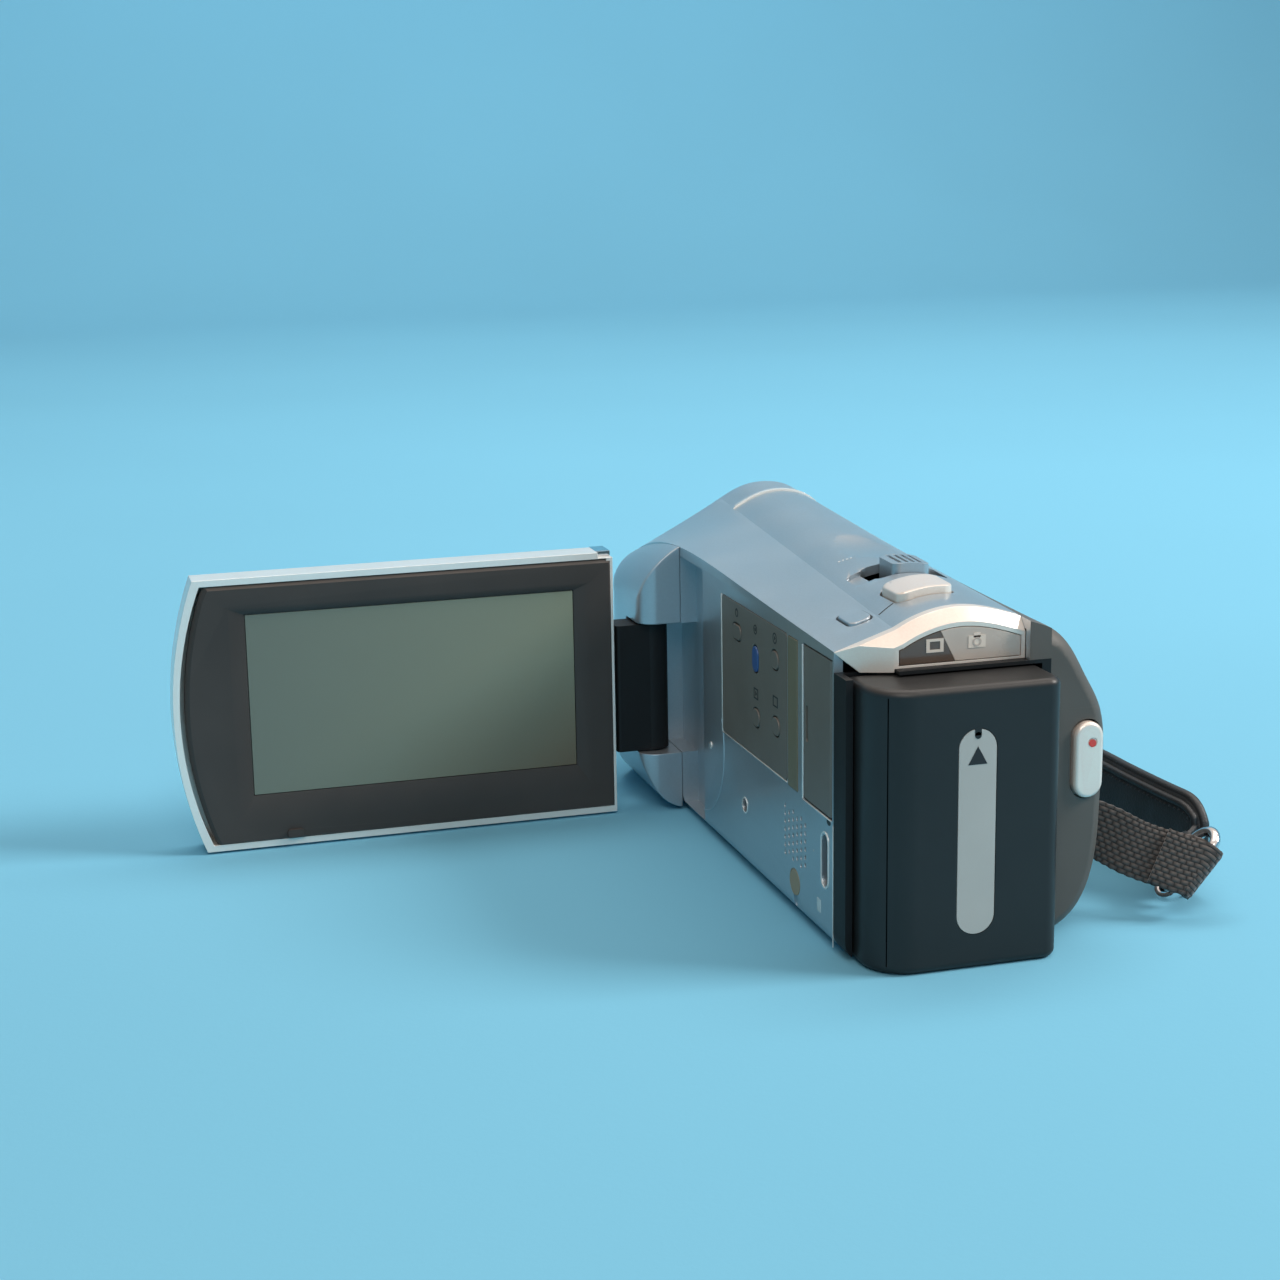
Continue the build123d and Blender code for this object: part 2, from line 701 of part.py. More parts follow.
def make_battery_case():
    case = battery_space()
    for side, radius in ((0, 7.0), (-1, 2.4)):
        corners = case.edges().filter_by(Axis.Z).group_by(Axis.Y)[0].sort_by(Axis.X)
        case = fillet(corners[side], radius)
    lengthwise = case.edges().filter_by(Axis.Y).group_by(Axis.Z)[0]
    case = fillet(lengthwise.filter_by(lambda edge: edge.length > 5), 1.4)
    for z in hook_heights:
        case = case - hook(z, slip, battery_travel)
    catch = block(latch_x - 2.8, latch_x + 2.8, battery_front - 1.7, battery_front + 1, 1.1,
                  4.2 + battery_travel)
    case = case - catch - label_plate(seat)
    for x in contact_xs:
        case = case - block(x - 0.75, x + 0.75, battery_front - 3, battery_front + 1, 20.5,
                            25.5 + battery_travel)
    right = battery_left + battery_w - 1.2
    rear_room = block(battery_left + 2.4, right, battery_rear + 1.6, battery_step_y - 1.2,
                      1.4, battery_h - 1.2)
    return case - rear_room - block(battery_step_x + 1.2, right, battery_step_y - 1.2,
                                    battery_front - 4.4, 1.4, battery_h - 1.2)


contact_xs = [battery_x - 9.4 + i * 1.8 for i in range(3)]


def label_plate(grow=0.0):
    outline = pill(label_w + 2 * grow, label_h + 2 * grow)
    return plate_y(outline, battery_rear - grow, battery_rear + 0.4 + grow, label_x, label_z)


def make_battery_cells():
    # cells and the contact strips in front of them
    y = battery_front - 3
    cells = [block(x - 0.75, x + 0.75, y, y + 0.4, 20.5, 25.5 + battery_travel) for x in contact_xs]
    for column in (-1, 1):
        for y in (battery_rear + 7.2, battery_front - 10.2):
            x = battery_x + column * 5.2
            cells.append(rod_z(x, y, 1.4, battery_h - 1.2, 5.1))
    return Compound(cells)


def make_battery_latch():
    pad = plate_z(RectangleRounded(9, 4.6, 1.8), 0.3, 1.6, latch_x, latch_y)
    bar = block(latch_x - 2.2, latch_x + 2.2, battery_front - 1.2, latch_y + 3.5, 1.6, 3.6)
    wings = block(latch_x - 6, latch_x + 6, latch_y - 4, latch_y + 3.5, 1.6, 3.0)
    return pad + bar + wings


# ---- rear cap and lamp windows ---------------------------------------------------------


def lamp_window(side, grow=0.0):
    face = loft([section(overhang_y, 2.7 - grow), section(overhang_y + 1.2 + grow, 2.7 - grow)],
                ruled=True)
    low = overhang_z + 0.5 - grow
    high = crown_rear_z
    lean = 2.0
    top_x = lamp_split - lean
    low_x = lamp_split + lean
    left = [(lamp_left - grow, low), (low_x, low), (top_x, high), (lamp_left - grow, high)]
    right = [(low_x, low), (lamp_right + grow, low), (lamp_right + grow, high), (top_x, high)]
    edge = Polyline(*[(x, overhang_y - 1, z) for x, z in (left, right)[side]], close=True)
    return face & extrude(make_face(edge), 5, dir=(0, 1, 0))


def make_rear_cap():
    bevel = loft([section(overhang_y, 1.9), section(overhang_y + 1.9, 0)], ruled=True)
    body = bevel + skin(overhang_y + 1.9, cap_y)
    keep = block(-60, cap_right, overhang_y - 1, cap_y, overhang_z, 70)
    keep = keep + block(-60, skirt_x, overhang_y - 1, cap_y, skirt_z, overhang_z + 1)
    body = body & keep
    slant = [(side_x - 1, 49.2), (side_x - 1, 40), (side_x + 3.6, 40), (side_x + 3.6, skirt_z)]
    slant_face = make_face(Polyline(*[(x, overhang_y - 2, z) for x, z in slant], close=True))
    body = body - extrude(slant_face, 8, dir=(0, 1, 0))
    corner = [(side_x - 1, overhang_y - 2), (side_x - 1, overhang_y + 3.6)]
    corner += [(side_x, overhang_y + 3.2), (side_x + 8.4, overhang_y), (side_x + 8.4, overhang_y - 2)]
    return body - prism(corner, 40, 70) - lamp_window(0, seat) - lamp_window(1, seat)


# ---- top controls ----------------------------------------------------------------------


def make_zoom_lever():
    cap = plate_z(RectangleRounded(lever_w, lever_l, 1.4), crown_rear_z - 2, 70, lever_x, lever_y)
    cap = cap & skin(lever_y - 12, lever_y + 12, -1.5)
    floor = block(lever_x - 2.6, lever_x + 2.6, lever_y - 2.9, lever_y + 2.9, crown_rear_z, 70)
    floor = floor - skin(lever_y - 12, lever_y + 12, -1.0)
    for i in range(5):
        x = lever_x - 2.4 + i * 1.2
        floor = floor - block(x - 0.3, x + 0.3, lever_y - 3, lever_y + 3, crown_rear_z, 70)
    stem = block(lever_x - 3, lever_x + 3, lever_y - 2, lever_y + 2, board_top + slip,
                 crown_rear_z - 1)
    return cap - floor + stem


def make_photo_button():
    top = plate_z(photo_outline(), board_top + button_travel + slip, 70, photo_x, photo_y)
    return top & skin(photo_y - 10, photo_y + 10, -1.2)


def make_mode_button():
    top = plate_z(mode_outline(), board_top + button_travel + slip, 70, mode_x, mode_y)
    return top & skin(mode_y - 12, mode_y + 12, -0.35)


def make_rec_button():
    cap = plate_y(rec_outline(), rear_y - 1.1, rear_y + wall + 0.6, rec_x, rec_z)
    cap = fillet(cap.edges().group_by(Axis.Y)[0], 0.7)
    flange = plate_y(rec_outline(0.8), rear_y + wall + 0.4, rear_y + wall + 1.4, rec_x, rec_z)
    flange = flange & block(rec_x - 4, rec_x + 0.9, rear_y, rear_y + 5, rec_z - 9, rec_z + 9)
    return cap + flange - rod_y(rec_x + 0.5, rear_y - 2, rear_y - 0.9, rec_z + 2.9, 0.8)


def make_switch_board():
    # lies on the battery bay under the top buttons and the lever
    return block(mode_x - 3.4, lens_x + 8, mode_y - 6, lever_y + 5, overhang_z, board_top)


# ---- left side pieces ------------------------------------------------------------------


control_keys = {
    "power_button": (-14.6, 41.8, 4.6, 2.6),
    "easy_button": (-24.4, 39.2, 2.8, 4.4),
    "share_button": (-34.2, 41.2, 3.6, 3.0),
    "playback_button": (-24.6, 29.0, 3.6, 3.0),
    "display_button": (-34.6, 30.0, 3.6, 3.0),
}


def make_control_panel():
    part = plate_x(control_outline(), side_x - 0.1, side_x + 0.7, panel_y, panel_z)
    for y, z, w, h in control_keys.values():
        part = part - plate_x(pill(w + 2 * slip, h + 2 * slip), side_x - 1, side_x + 1, y, z)
    return part


def make_control_key(y, z, w, h):
    cap = plate_x(pill(w, h), side_x - 0.25, side_x + 1.2, y, z)
    return cap + plate_x(pill(w + 1.2, h + 1.2), side_x + 1.1, side_x + 1.8, y, z)


def make_key_board():
    x = side_x + 1.8 + key_travel + slip
    board = plate_x(control_outline(0.5), x, x + 1.0, panel_y, panel_z)
    rim = plate_x(control_outline(0.5), side_x + wall, x, panel_y, panel_z)
    return board + rim - plate_x(control_outline(-1.5), side_x, x, panel_y, panel_z)


def make_side_rib():
    return plate_x(Rectangle(rib_w, jack_h), side_x - 0.15, side_x + 0.6, rib_y, jack_z)


def make_jack_cover():
    plate = block(side_x, side_x + flap_t, jack_pin_y, jack_front, jack_low, jack_high)
    barrel = rod_z(jack_pin_x, jack_pin_y, jack_low, jack_high, flap_r)
    part = plate + barrel - rod_z(jack_pin_x, jack_pin_y, 0, 60, flap_pin_r + running)
    return part - plate_x(pill(1.0, 6), side_x - 1, side_x + 0.35, jack_front - 1.2, jack_z)


def make_jack_block():
    # two round sockets and a flat one, behind their cover
    x = side_x + flap_t + 0.5
    front = jack_front - 0.8
    part = block(x, frame_left, jack_pin_y + 2.0, front, jack_low + 1, jack_high - 1)
    middle = (jack_pin_y + 2.0 + front) / 2
    for z in (jack_low + 5.5, jack_low + 12.5):
        part = part - rod_x(x - 1, x + 5, middle, z, 1.8)
    part = part - block(x - 1, x + 5, middle - 2.2, middle + 2.2, jack_high - 8, jack_high - 3)
    return part


def make_usb_port():
    outer = plate_x(pill(3.6, 9.4), side_x + wall, side_x + 6.5, usb_y, usb_z)
    room = plate_x(pill(2.6, 8.4), side_x, side_x + 5.5, usb_y, usb_z)
    tongue = block(side_x + 1.0, side_x + 6, usb_y - 0.35, usb_y + 0.35, usb_z - 3, usb_z + 3)
    return outer - room + tongue


def make_speaker():
    basket = rod_x(side_x + wall, side_x + wall + 2.6, speaker_y, speaker_z, 6.4)
    return basket - rod_x(side_x, side_x + wall + 0.8, speaker_y, speaker_z, 5.6)


def make_latch_pad():
    return plate_x(Ellipse(2.4, 2.2), side_x - 0.05, side_x + 0.5, pad_y, pad_z)


def make_reset_button():
    stem = rod_x(side_x + 0.5, side_x + 2.6, reset_y, reset_z, reset_r)
    return stem + rod_x(side_x + wall + 0.3, side_x + 2.6, reset_y, reset_z, reset_r + 0.8)


# ---- lens and boards -------------------------------------------------------------------


def make_lens_barrel():
    tube = tube_y(lens_x, lens_rear, nose_y - 0.5, lens_z, lens_r, lens_r - 1.2)
    flange = tube_y(lens_x, nose_y - 2.5, nose_y - 0.5, lens_z, lens_r + 2.0, lens_r - 1.2)
    stop = tube_y(lens_x, lens_rear, lens_rear + 1.5, lens_z, lens_r - 0.5, 4.0)
    sensor = block(lens_x - 6, lens_x + 6, lens_rear - 2.0, lens_rear + 0.1, lens_z - 6, lens_z + 6)
    return tube + flange + stop + sensor


def make_inner_lenses():
    focus = lens_element(2.0, lens_r - 1.25, 2.0, 1.5)
    return Compound([focus, lens_element(16.5, lens_r - 1.25, 3.0, 1.8)])


def lens_element(y, r, t, bulge):
    disc = rod_y(lens_x, y, y + t, lens_z, r)
    dome_r = (r * r + bulge * bulge) / (2 * bulge)
    ball = Pos(lens_x, y + t + bulge - dome_r, lens_z) * Sphere(dome_r)
    return disc + (ball & rod_y(lens_x, y + t - 0.01, y + t + bulge + 1, lens_z, r))


def make_front_element():
    return lens_element(nose_y - 4.5, lens_r - 1.25, 2.0, 2.0)


def card_slot_space(grow=0.0):
    return block(card_x - 2.2 - grow, card_x + 2.2 + grow, card_y - 13.6 - grow,
                 card_y + 13.6 + grow, wall + 0.7, 22 + grow)


def make_card_slot():
    inner = block(card_x - 1.3, card_x + 1.3, card_y - 12.2, card_y + 12.2, 0, 20.5)
    return card_slot_space() - inner


def make_main_board():
    # upright board in the grip, bracketed to the battery bay
    x = grip_x - 7.4
    board = block(x, x + 1, frame_front + 3, front_lug_y - 4, 8.0, 36.0)
    return board + block(bay_edge - 4, x, frame_front, frame_front + 12, 26, 28)


def make_card_cover():
    low = card_y - card_l / 2
    high = card_y + card_l / 2
    plate = block(card_x - card_w / 2, card_pin_x, low, high, 0, flap_t)
    barrel = rod_y(card_pin_x, low, high, flap_r, flap_r)
    pull = plate_z(pill(0.9, 8), -1, 0.4, card_x - card_w / 2 + 1.1, card_y)
    return plate + barrel - pull - rod_y(card_pin_x, low - 1, high + 1, flap_r, flap_pin_r + running)


def make_cover_pins():
    card = rod_y(card_pin_x, card_y - card_pin_y, card_y + card_pin_y, flap_r, flap_pin_r)
    jack = rod_z(jack_pin_x, jack_pin_y, jack_low - 1.6, jack_high + 1.6, flap_pin_r)
    return Compound([card, jack])


# ---- lens cover ------------------------------------------------------------------------


def make_shutter(side):
    y = front_y - 6.4 - shutter_t
    half = shutter_half + 0.4
    disc = rod_y(lens_x, y, y + shutter_t, lens_z, half)
    middle = lens_z + side * (half / 2 + 0.15)
    keep = block(lens_x - half, lens_x + half, y - 1, y + 2, middle - half / 2, middle + half / 2)
    return disc & keep


# ---- hand strap ------------------------------------------------------------------------


def band(path, thickness, z0, z1):
    # an upright strip of even thickness that follows a plan path
    sides = ([], [])
    for i, (x, y) in enumerate(path):
        ax, ay = path[max(i - 1, 0)]
        bx, by = path[min(i + 1, len(path) - 1)]
        length = hypot(bx - ax, by - ay)
        nx = (by - ay) / length * thickness / 2
        ny = (ax - bx) / length * thickness / 2
        sides[0].append((x + nx, y + ny, z0))
        sides[1].append((x - nx, y - ny, z0))
    edges = [
        Edge.make_spline(sides[0]),
        Edge.make_line(sides[0][-1], sides[1][-1]),
        Edge.make_spline(sides[1]),
        Edge.make_line(sides[1][0], sides[0][0]),
    ]
    return extrude(Face(Wire(edges)), z1 - z0, dir=(0, 0, 1))


# the plane of the ring: its X runs along the ring, its Y towards the pad
ring_plane = Plane((ring_x, ring_y, ring_z), x_dir=(0.66, 0, 0.75), z_dir=(-0.75, 0, 0.66))


def ring_tube(side, length, r):
    at = (0, side * (ring_w / 2 - ring_wire), 0)
    return ring_plane * Pos(*at) * Rot(0, 90, 0) * Cylinder(r, length)


def make_strap_ring():
    r = ring_w / 2 - ring_wire
    straight = ring_l - ring_w
    rails = ring_tube(-1, straight, ring_wire) + ring_tube(1, straight, ring_wire)
    half = Torus(r, ring_wire) & Pos(r + 3, 0, 0) * Box(2 * r + 6, 30, 10)
    end = Pos(straight / 2, 0, 0) * half
    return rails + ring_plane * end + ring_plane * Rot(0, 0, 180) * end


def strap_bar(y, z):
    # the steel bar in the grip that the webbing is looped round
    return rod_z(bar_x, y, z - web_w / 2 - 2.5, z + web_w / 2 + 2.5, bar_r)


def bar_loop(y, z):
    low = z - web_w / 2
    high = z + web_w / 2
    loop = rod_z(bar_x, y, low, high, bar_r + slip + web_t)
    return loop - rod_z(bar_x, y, low - 1, high + 1, bar_r + slip)


def make_rear_webbing():
    level = Plane((bar_x + bar_r + slip, rear_lug_y, rear_lug_z), x_dir=(0, 0, 1), z_dir=(1, 0, 0))
    outer = Plane((grip_x + 1.5, rear_lug_y, rear_lug_z), x_dir=(0, 0, 1), z_dir=(1, 0, 0))
    half_way = Plane((34.0, -61.2, 11.6), x_dir=(0.38, 0.1, 0.92), z_dir=(0.86, -0.43, -0.31))
    rail = (ring_x, ring_y - ring_w / 2 + ring_wire, ring_z)
    last = Plane(rail, x_dir=(0.66, 0, 0.75), z_dir=(0.68, -0.41, -0.6))
    strip = Rectangle(web_w, web_t)
    ribbon = extrude(level * strip, grip_x + 1.5 - bar_x - bar_r - slip)
    ribbon = ribbon + loft([outer * strip, half_way * strip, last * strip])
    ribbon = ribbon + ring_tube(-1, web_w, ring_wire + slip + web_t)
    return ribbon + bar_loop(rear_lug_y, rear_lug_z) - ring_tube(-1, 30, ring_wire + slip)


def make_front_webbing():
    y = front_lug_y
    path = [(bar_x + bar_r + slip, y), (grip_x - 1, y), (grip_x + 2, y - 1.2), (grip_x + 5.5, y - 6),
            (grip_x + 9.2, y - 12.3)]
    low = front_lug_z - web_w / 2
    return band(path, web_t, low, low + web_w) + bar_loop(y, front_lug_z)


def make_strap_pad():
    path = [(strap_x + 2.0, -57.6), (strap_x + 0.7, -48.0), (strap_x, -36.0), (strap_x - 0.4, -24.0),
            (strap_x - 2.4, -8.0), (strap_x - 5.8, 8.0), (grip_x + 9.5, 25.0)]
    pad = band(path, pad_t, 0.5, 0.5 + pad_h)
    tail = Plane((ring_x, ring_y + ring_w / 2 - ring_wire, ring_z), x_dir=(0.66, 0, 0.75),
                 z_dir=(0.45, 0.8, -0.396))
    rear = Plane((strap_x + 1.4, -55.4, 0.5 + pad_h / 2), x_dir=(0, 0, 1), z_dir=(0.5, 0.866, 0))
    tab = loft([tail * Rectangle(web_w - 1, web_t), rear * Rectangle(pad_h - 6, pad_t - 1.4)])
    pad = pad + tab + ring_tube(1, web_w - 1, ring_wire + slip + web_t)
    return pad - ring_tube(1, 30, ring_wire + slip)


def make_strap_bars():
    return Compound([strap_bar(rear_lug_y, rear_lug_z), strap_bar(front_lug_y, front_lug_z)])


def make_all_screws():
    screws = [make_base_screw(x, y) for x, y in base_screws]
    return Compound(screws)


# ---- the pieces ------------------------------------------------------------------------

pieces = {
    "left_cabinet": make_left_cabinet(),
    "grip_cover": make_grip_cover(),
    "grip_shoulder": make_grip_shoulder(),
    "top_cover": make_top_cover(),
    "front_cabinet": make_front_cabinet(),
    "hinge_housing": make_hinge_housing(),
    "bottom_cover": make_bottom_cover(),
    "base_screws": make_all_screws(),
    "tripod_socket": make_tripod_socket(),
    "card_cover": make_card_cover(),
    "card_slot": make_card_slot(),
    "battery_bay": make_battery_bay(),
    "battery_latch": make_battery_latch(),
    "battery_case": make_battery_case(),
    "battery_label": label_plate(),
    "battery_cells": make_battery_cells(),
    "rear_cap": make_rear_cap(),
    "lamp_window_dark": lamp_window(0),
    "lamp_window_light": lamp_window(1),
    "control_panel": make_control_panel(),
    "key_board": make_key_board(),
    "side_rib": make_side_rib(),
    "jack_cover": make_jack_cover(),
    "cover_pins": make_cover_pins(),
    "jack_block": make_jack_block(),
    "usb_port": make_usb_port(),
    "speaker": make_speaker(),
    "latch_pad": make_latch_pad(),
    "reset_button": make_reset_button(),
    "zoom_lever": make_zoom_lever(),
    "photo_button": make_photo_button(),
    "mode_button": make_mode_button(),
    "switch_board": make_switch_board(),
    "rec_button": make_rec_button(),
    "hinge_pin": make_hinge_pin(),
    "hinge_arm": make_hinge_arm(),
    "tilt_shaft": make_tilt_shaft(),
    "tilt_bearing": make_tilt_bearing(),
    "lcd_lid": make_lcd_lid(),
    "lcd_end_trim": make_end_trim(),
    "lcd_bezel": make_lcd_bezel(),
    "lcd_glass": make_lcd_glass(),
    "lcd_display": make_lcd_display(),
    "lens_trim": lens_trim(),
    "lens_barrel": make_lens_barrel(),
    "front_element": make_front_element(),
    "inner_lenses": make_inner_lenses(),
    "main_board": make_main_board(),
    "shutter_upper": make_shutter(1),
    "shutter_lower": make_shutter(-1),
    "strap_bars": make_strap_bars(),
    "strap_ring": make_strap_ring(),
    "rear_webbing": make_rear_webbing(),
    "front_webbing": make_front_webbing(),
    "strap_pad": make_strap_pad(),
}
for name, (y, z, w, h) in control_keys.items():
    pieces[name] = make_control_key(y, z, w, h)

for name, piece in pieces.items():
    save(name, piece)
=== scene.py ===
import json
import math

import bpy
from mathutils import Matrix, Vector

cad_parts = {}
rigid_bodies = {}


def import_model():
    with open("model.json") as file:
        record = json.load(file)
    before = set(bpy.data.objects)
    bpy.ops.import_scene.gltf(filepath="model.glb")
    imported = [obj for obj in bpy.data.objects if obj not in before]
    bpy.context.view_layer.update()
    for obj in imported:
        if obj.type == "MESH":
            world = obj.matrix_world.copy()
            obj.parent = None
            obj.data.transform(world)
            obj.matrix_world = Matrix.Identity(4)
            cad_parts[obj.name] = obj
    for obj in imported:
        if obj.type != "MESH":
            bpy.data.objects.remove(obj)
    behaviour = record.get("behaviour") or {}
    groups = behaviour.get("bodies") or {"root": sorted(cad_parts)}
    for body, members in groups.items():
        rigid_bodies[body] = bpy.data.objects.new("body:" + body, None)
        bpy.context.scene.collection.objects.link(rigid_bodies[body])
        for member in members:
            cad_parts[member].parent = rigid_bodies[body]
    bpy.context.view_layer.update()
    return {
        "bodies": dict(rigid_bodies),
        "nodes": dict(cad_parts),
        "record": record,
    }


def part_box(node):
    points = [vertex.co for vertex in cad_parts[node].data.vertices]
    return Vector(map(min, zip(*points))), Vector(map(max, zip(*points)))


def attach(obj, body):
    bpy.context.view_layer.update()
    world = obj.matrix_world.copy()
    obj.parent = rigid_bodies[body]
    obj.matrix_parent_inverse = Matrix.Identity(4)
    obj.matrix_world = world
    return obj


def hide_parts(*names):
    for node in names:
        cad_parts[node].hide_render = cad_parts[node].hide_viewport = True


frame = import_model()
mm = 0.001
print("stage: frame loaded")

slotOf = {row["node"]: row["material_slot"] for row in frame["record"]["subparts"]}
bodyOf = {}
for bodyName, empty in frame["bodies"].items():
    for child in empty.children:
        bodyOf[child.name] = bodyName


# ordinary modelling helpers

def deselectAll():
    if bpy.context.object and bpy.context.object.mode != "OBJECT":
        bpy.ops.object.mode_set(mode="OBJECT")
    bpy.ops.object.select_all(action="DESELECT")


def pick(obj):
    deselectAll()
    obj.select_set(True)
    bpy.context.view_layer.objects.active = obj


def settle(obj):
    # the place goes into the mesh, and the object itself stays at the origin
    pick(obj)
    bpy.ops.object.transform_apply(location=True, rotation=True, scale=True)


def applyModifier(obj, kind, **values):
    pick(obj)
    bpy.ops.object.modifier_add(type=kind)
    modifier = obj.modifiers[-1]
    for key, value in values.items():
        setattr(modifier, key, value)
    bpy.ops.object.modifier_apply(modifier=modifier.name)


def smooth(obj, degrees=35):
    pick(obj)
    bpy.ops.object.shade_smooth_by_angle(angle=math.radians(degrees))


def paint(obj, slotName, finish=None):
    obj.data.materials.clear()
    obj.data.materials.append(finish or finishes[slotName])


def place(obj, body, slotName, finish=None):
    paint(obj, slotName, finish)
    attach(obj, body)
    return obj


def addObject(name, data):
    obj = bpy.data.objects.new(name, data)
    bpy.context.scene.collection.objects.link(obj)
    pick(obj)
    return obj


def joinAll(objs, name):
    deselectAll()
    for obj in objs:
        obj.select_set(True)
    bpy.context.view_layer.objects.active = objs[0]
    bpy.ops.object.join()
    objs[0].name = name


# node helpers

class Nodes:
    def __init__(self, name):
        self.material = bpy.data.materials.new(name)
        self.material.use_nodes = True
        self.tree = self.material.node_tree
        self.shader = self.tree.nodes["Principled BSDF"]
        self.coords = self.add("ShaderNodeTexCoord")

    def add(self, kind, **values):
        node = self.tree.nodes.new(kind)
        for key, value in values.items():
            setattr(node, key, value)
        return node

    def link(self, a, b):
        self.tree.links.new(a, b)

    def noise(self, scale, detail=4.0, rough=0.6, vector=None):
        node = self.add("ShaderNodeTexNoise")
        node.inputs["Scale"].default_value = scale
        node.inputs["Detail"].default_value = detail
        node.inputs["Roughness"].default_value = rough
        self.link(vector or self.coords.outputs["Object"], node.inputs["Vector"])
        return node.outputs["Fac"]

    def ramp(self, source, low, high, at=(0.35, 0.65)):
        node = self.add("ShaderNodeValToRGB")
        for element, position, colour in zip(node.color_ramp.elements, at, (low, high)):
            element.position = position
            element.color = (*colour, 1)
        self.link(source, node.inputs["Fac"])
        return node.outputs["Color"]

    def mask(self, source, top, at=(0.35, 0.65)):
        # grey, from nothing up to the top value
        return self.ramp(source, (0, 0, 0), (top, top, top), at)

    def clouded(self, source, colour, spread):
        # the colour, a little darker and lighter with the source
        return self.ramp(source, scaled(colour, 1 - spread), scaled(colour, 1 + spread))

    def spread(self, source, low, high):
        node = self.add("ShaderNodeMapRange")
        node.inputs["To Min"].default_value = low
        node.inputs["To Max"].default_value = high
        self.link(source, node.inputs["Value"])
        return node.outputs["Result"]

    def mix(self, factor, base, colour):
        # a colour mix has its factor at socket 0 and its two colours at 6 and 7
        node = self.add("ShaderNodeMix", data_type="RGBA")
        self.link(factor, node.inputs[0])
        self.link(base, node.inputs[6])
        node.inputs[7].default_value = (*colour, 1)
        return node.outputs[2]

    def feed(self, socket, value):
        # a socket takes another node's output or a plain number
        if hasattr(value, "is_output"):
            self.link(value, socket)
        else:
            socket.default_value = value

    def math(self, kind, a, b=0.0):
        node = self.add("ShaderNodeMath", operation=kind)
        self.feed(node.inputs[0], a)
        self.feed(node.inputs[1], b)
        return node.outputs[0]

    def bump(self, height, strength, distance, below=None):
        node = self.add("ShaderNodeBump")
        node.inputs["Strength"].default_value = strength
        node.inputs["Distance"].default_value = distance
        self.link(height, node.inputs["Height"])
        if below:
            self.link(below, node.inputs["Normal"])
        return node.outputs["Normal"]

    def swell(self, scale, detail, strength, depth):
        # the surface's own faint unevenness
        self.set(Normal=self.bump(self.noise(scale, detail), strength, depth * mm))

    def worn(self, low=0.5, high=0.56):
        # rises where the surface is a convex edge
        geometry = self.add("ShaderNodeNewGeometry")
        node = self.add("ShaderNodeMapRange")
        node.inputs["From Min"].default_value = low
        node.inputs["From Max"].default_value = high
        self.link(geometry.outputs["Pointiness"], node.inputs["Value"])
        return node.outputs["Result"]

    def set(self, **values):
        for key, value in values.items():
            self.feed(self.shader.inputs[key.replace("_", " ")], value)


def srgb(r, g, b):
    return tuple(((c / 255 + 0.055) / 1.055) ** 2.4 if c > 10 else c / 255 / 12.92 for c in (r, g, b))


def scaled(colour, k):
    return tuple(min(1, c * k) for c in colour)


# finishes: each kind has its settings beside it, with scales per metre and depths in millimetres

plastic = {
    "cloudScale": 35, "edgeTone": 1.9, "glossScale": 160, "gloss": (-0.06, 0.07), "grainStrength": 0.5,
}


def moulded(name, colour, rough=0.45, grain=1800, grainDepth=0.02, shine=0.4, spread=0.12, wear=0.12):
    # moulded plastic: fine spark-eroded grain, faint cloudiness, polished edges
    n = Nodes(name)
    base = n.clouded(n.noise(plastic["cloudScale"], detail=3), colour, spread)
    base = n.mix(n.math("MULTIPLY", n.worn(), wear), base, scaled(colour, plastic["edgeTone"]))
    low, high = plastic["gloss"]
    n.set(Roughness=n.spread(n.noise(plastic["glossScale"]), rough + low, rough + high))
    n.set(Base_Color=base, Specular_IOR_Level=shine)
    fine = n.noise(grain, detail=3, rough=0.7)
    n.set(Normal=n.bump(fine, plastic["grainStrength"], grainDepth * mm))
    return n.material


lacquer = {
    "cloudScale": 22, "spread": 0.05, "flakeScale": 2600, "flakeShare": 0.16, "flakeTone": 1.35,
    "edgeShare": 0.25, "edgeTone": 1.3, "glossScale": 90, "gloss": (-0.04, 0.05),
    "coat": 0.25, "coatRough": 0.12, "flakeStrength": 0.25, "flakeDepth": 0.006,
}


def metalPaint(name, colour, rough=0.34, metal=0.72):
    # silver lacquer with fine flake under a thin clear coat
    n = Nodes(name)
    flakes = n.noise(lacquer["flakeScale"], detail=2, rough=0.8)
    base = n.clouded(n.noise(lacquer["cloudScale"], detail=3), colour, lacquer["spread"])
    base = n.mix(n.mask(flakes, lacquer["flakeShare"]), base, scaled(colour, lacquer["flakeTone"]))
    edges = n.math("MULTIPLY", n.worn(), lacquer["edgeShare"])
    base = n.mix(edges, base, scaled(colour, lacquer["edgeTone"]))
    low, high = lacquer["gloss"]
    n.set(Roughness=n.spread(n.noise(lacquer["glossScale"]), rough + low, rough + high))
    n.set(Base_Color=base, Metallic=metal)
    n.set(Coat_Weight=lacquer["coat"], Coat_Roughness=lacquer["coatRough"])
    n.set(Normal=n.bump(flakes, lacquer["flakeStrength"], lacquer["flakeDepth"] * mm))
    return n.material


bareMetal = {
    "grainScale": 240, "brushScale": (4000, 200, 200), "spread": 0.06, "gloss": (0.75, 1.35),
    "strength": 0.15, "depth": 0.01,
}


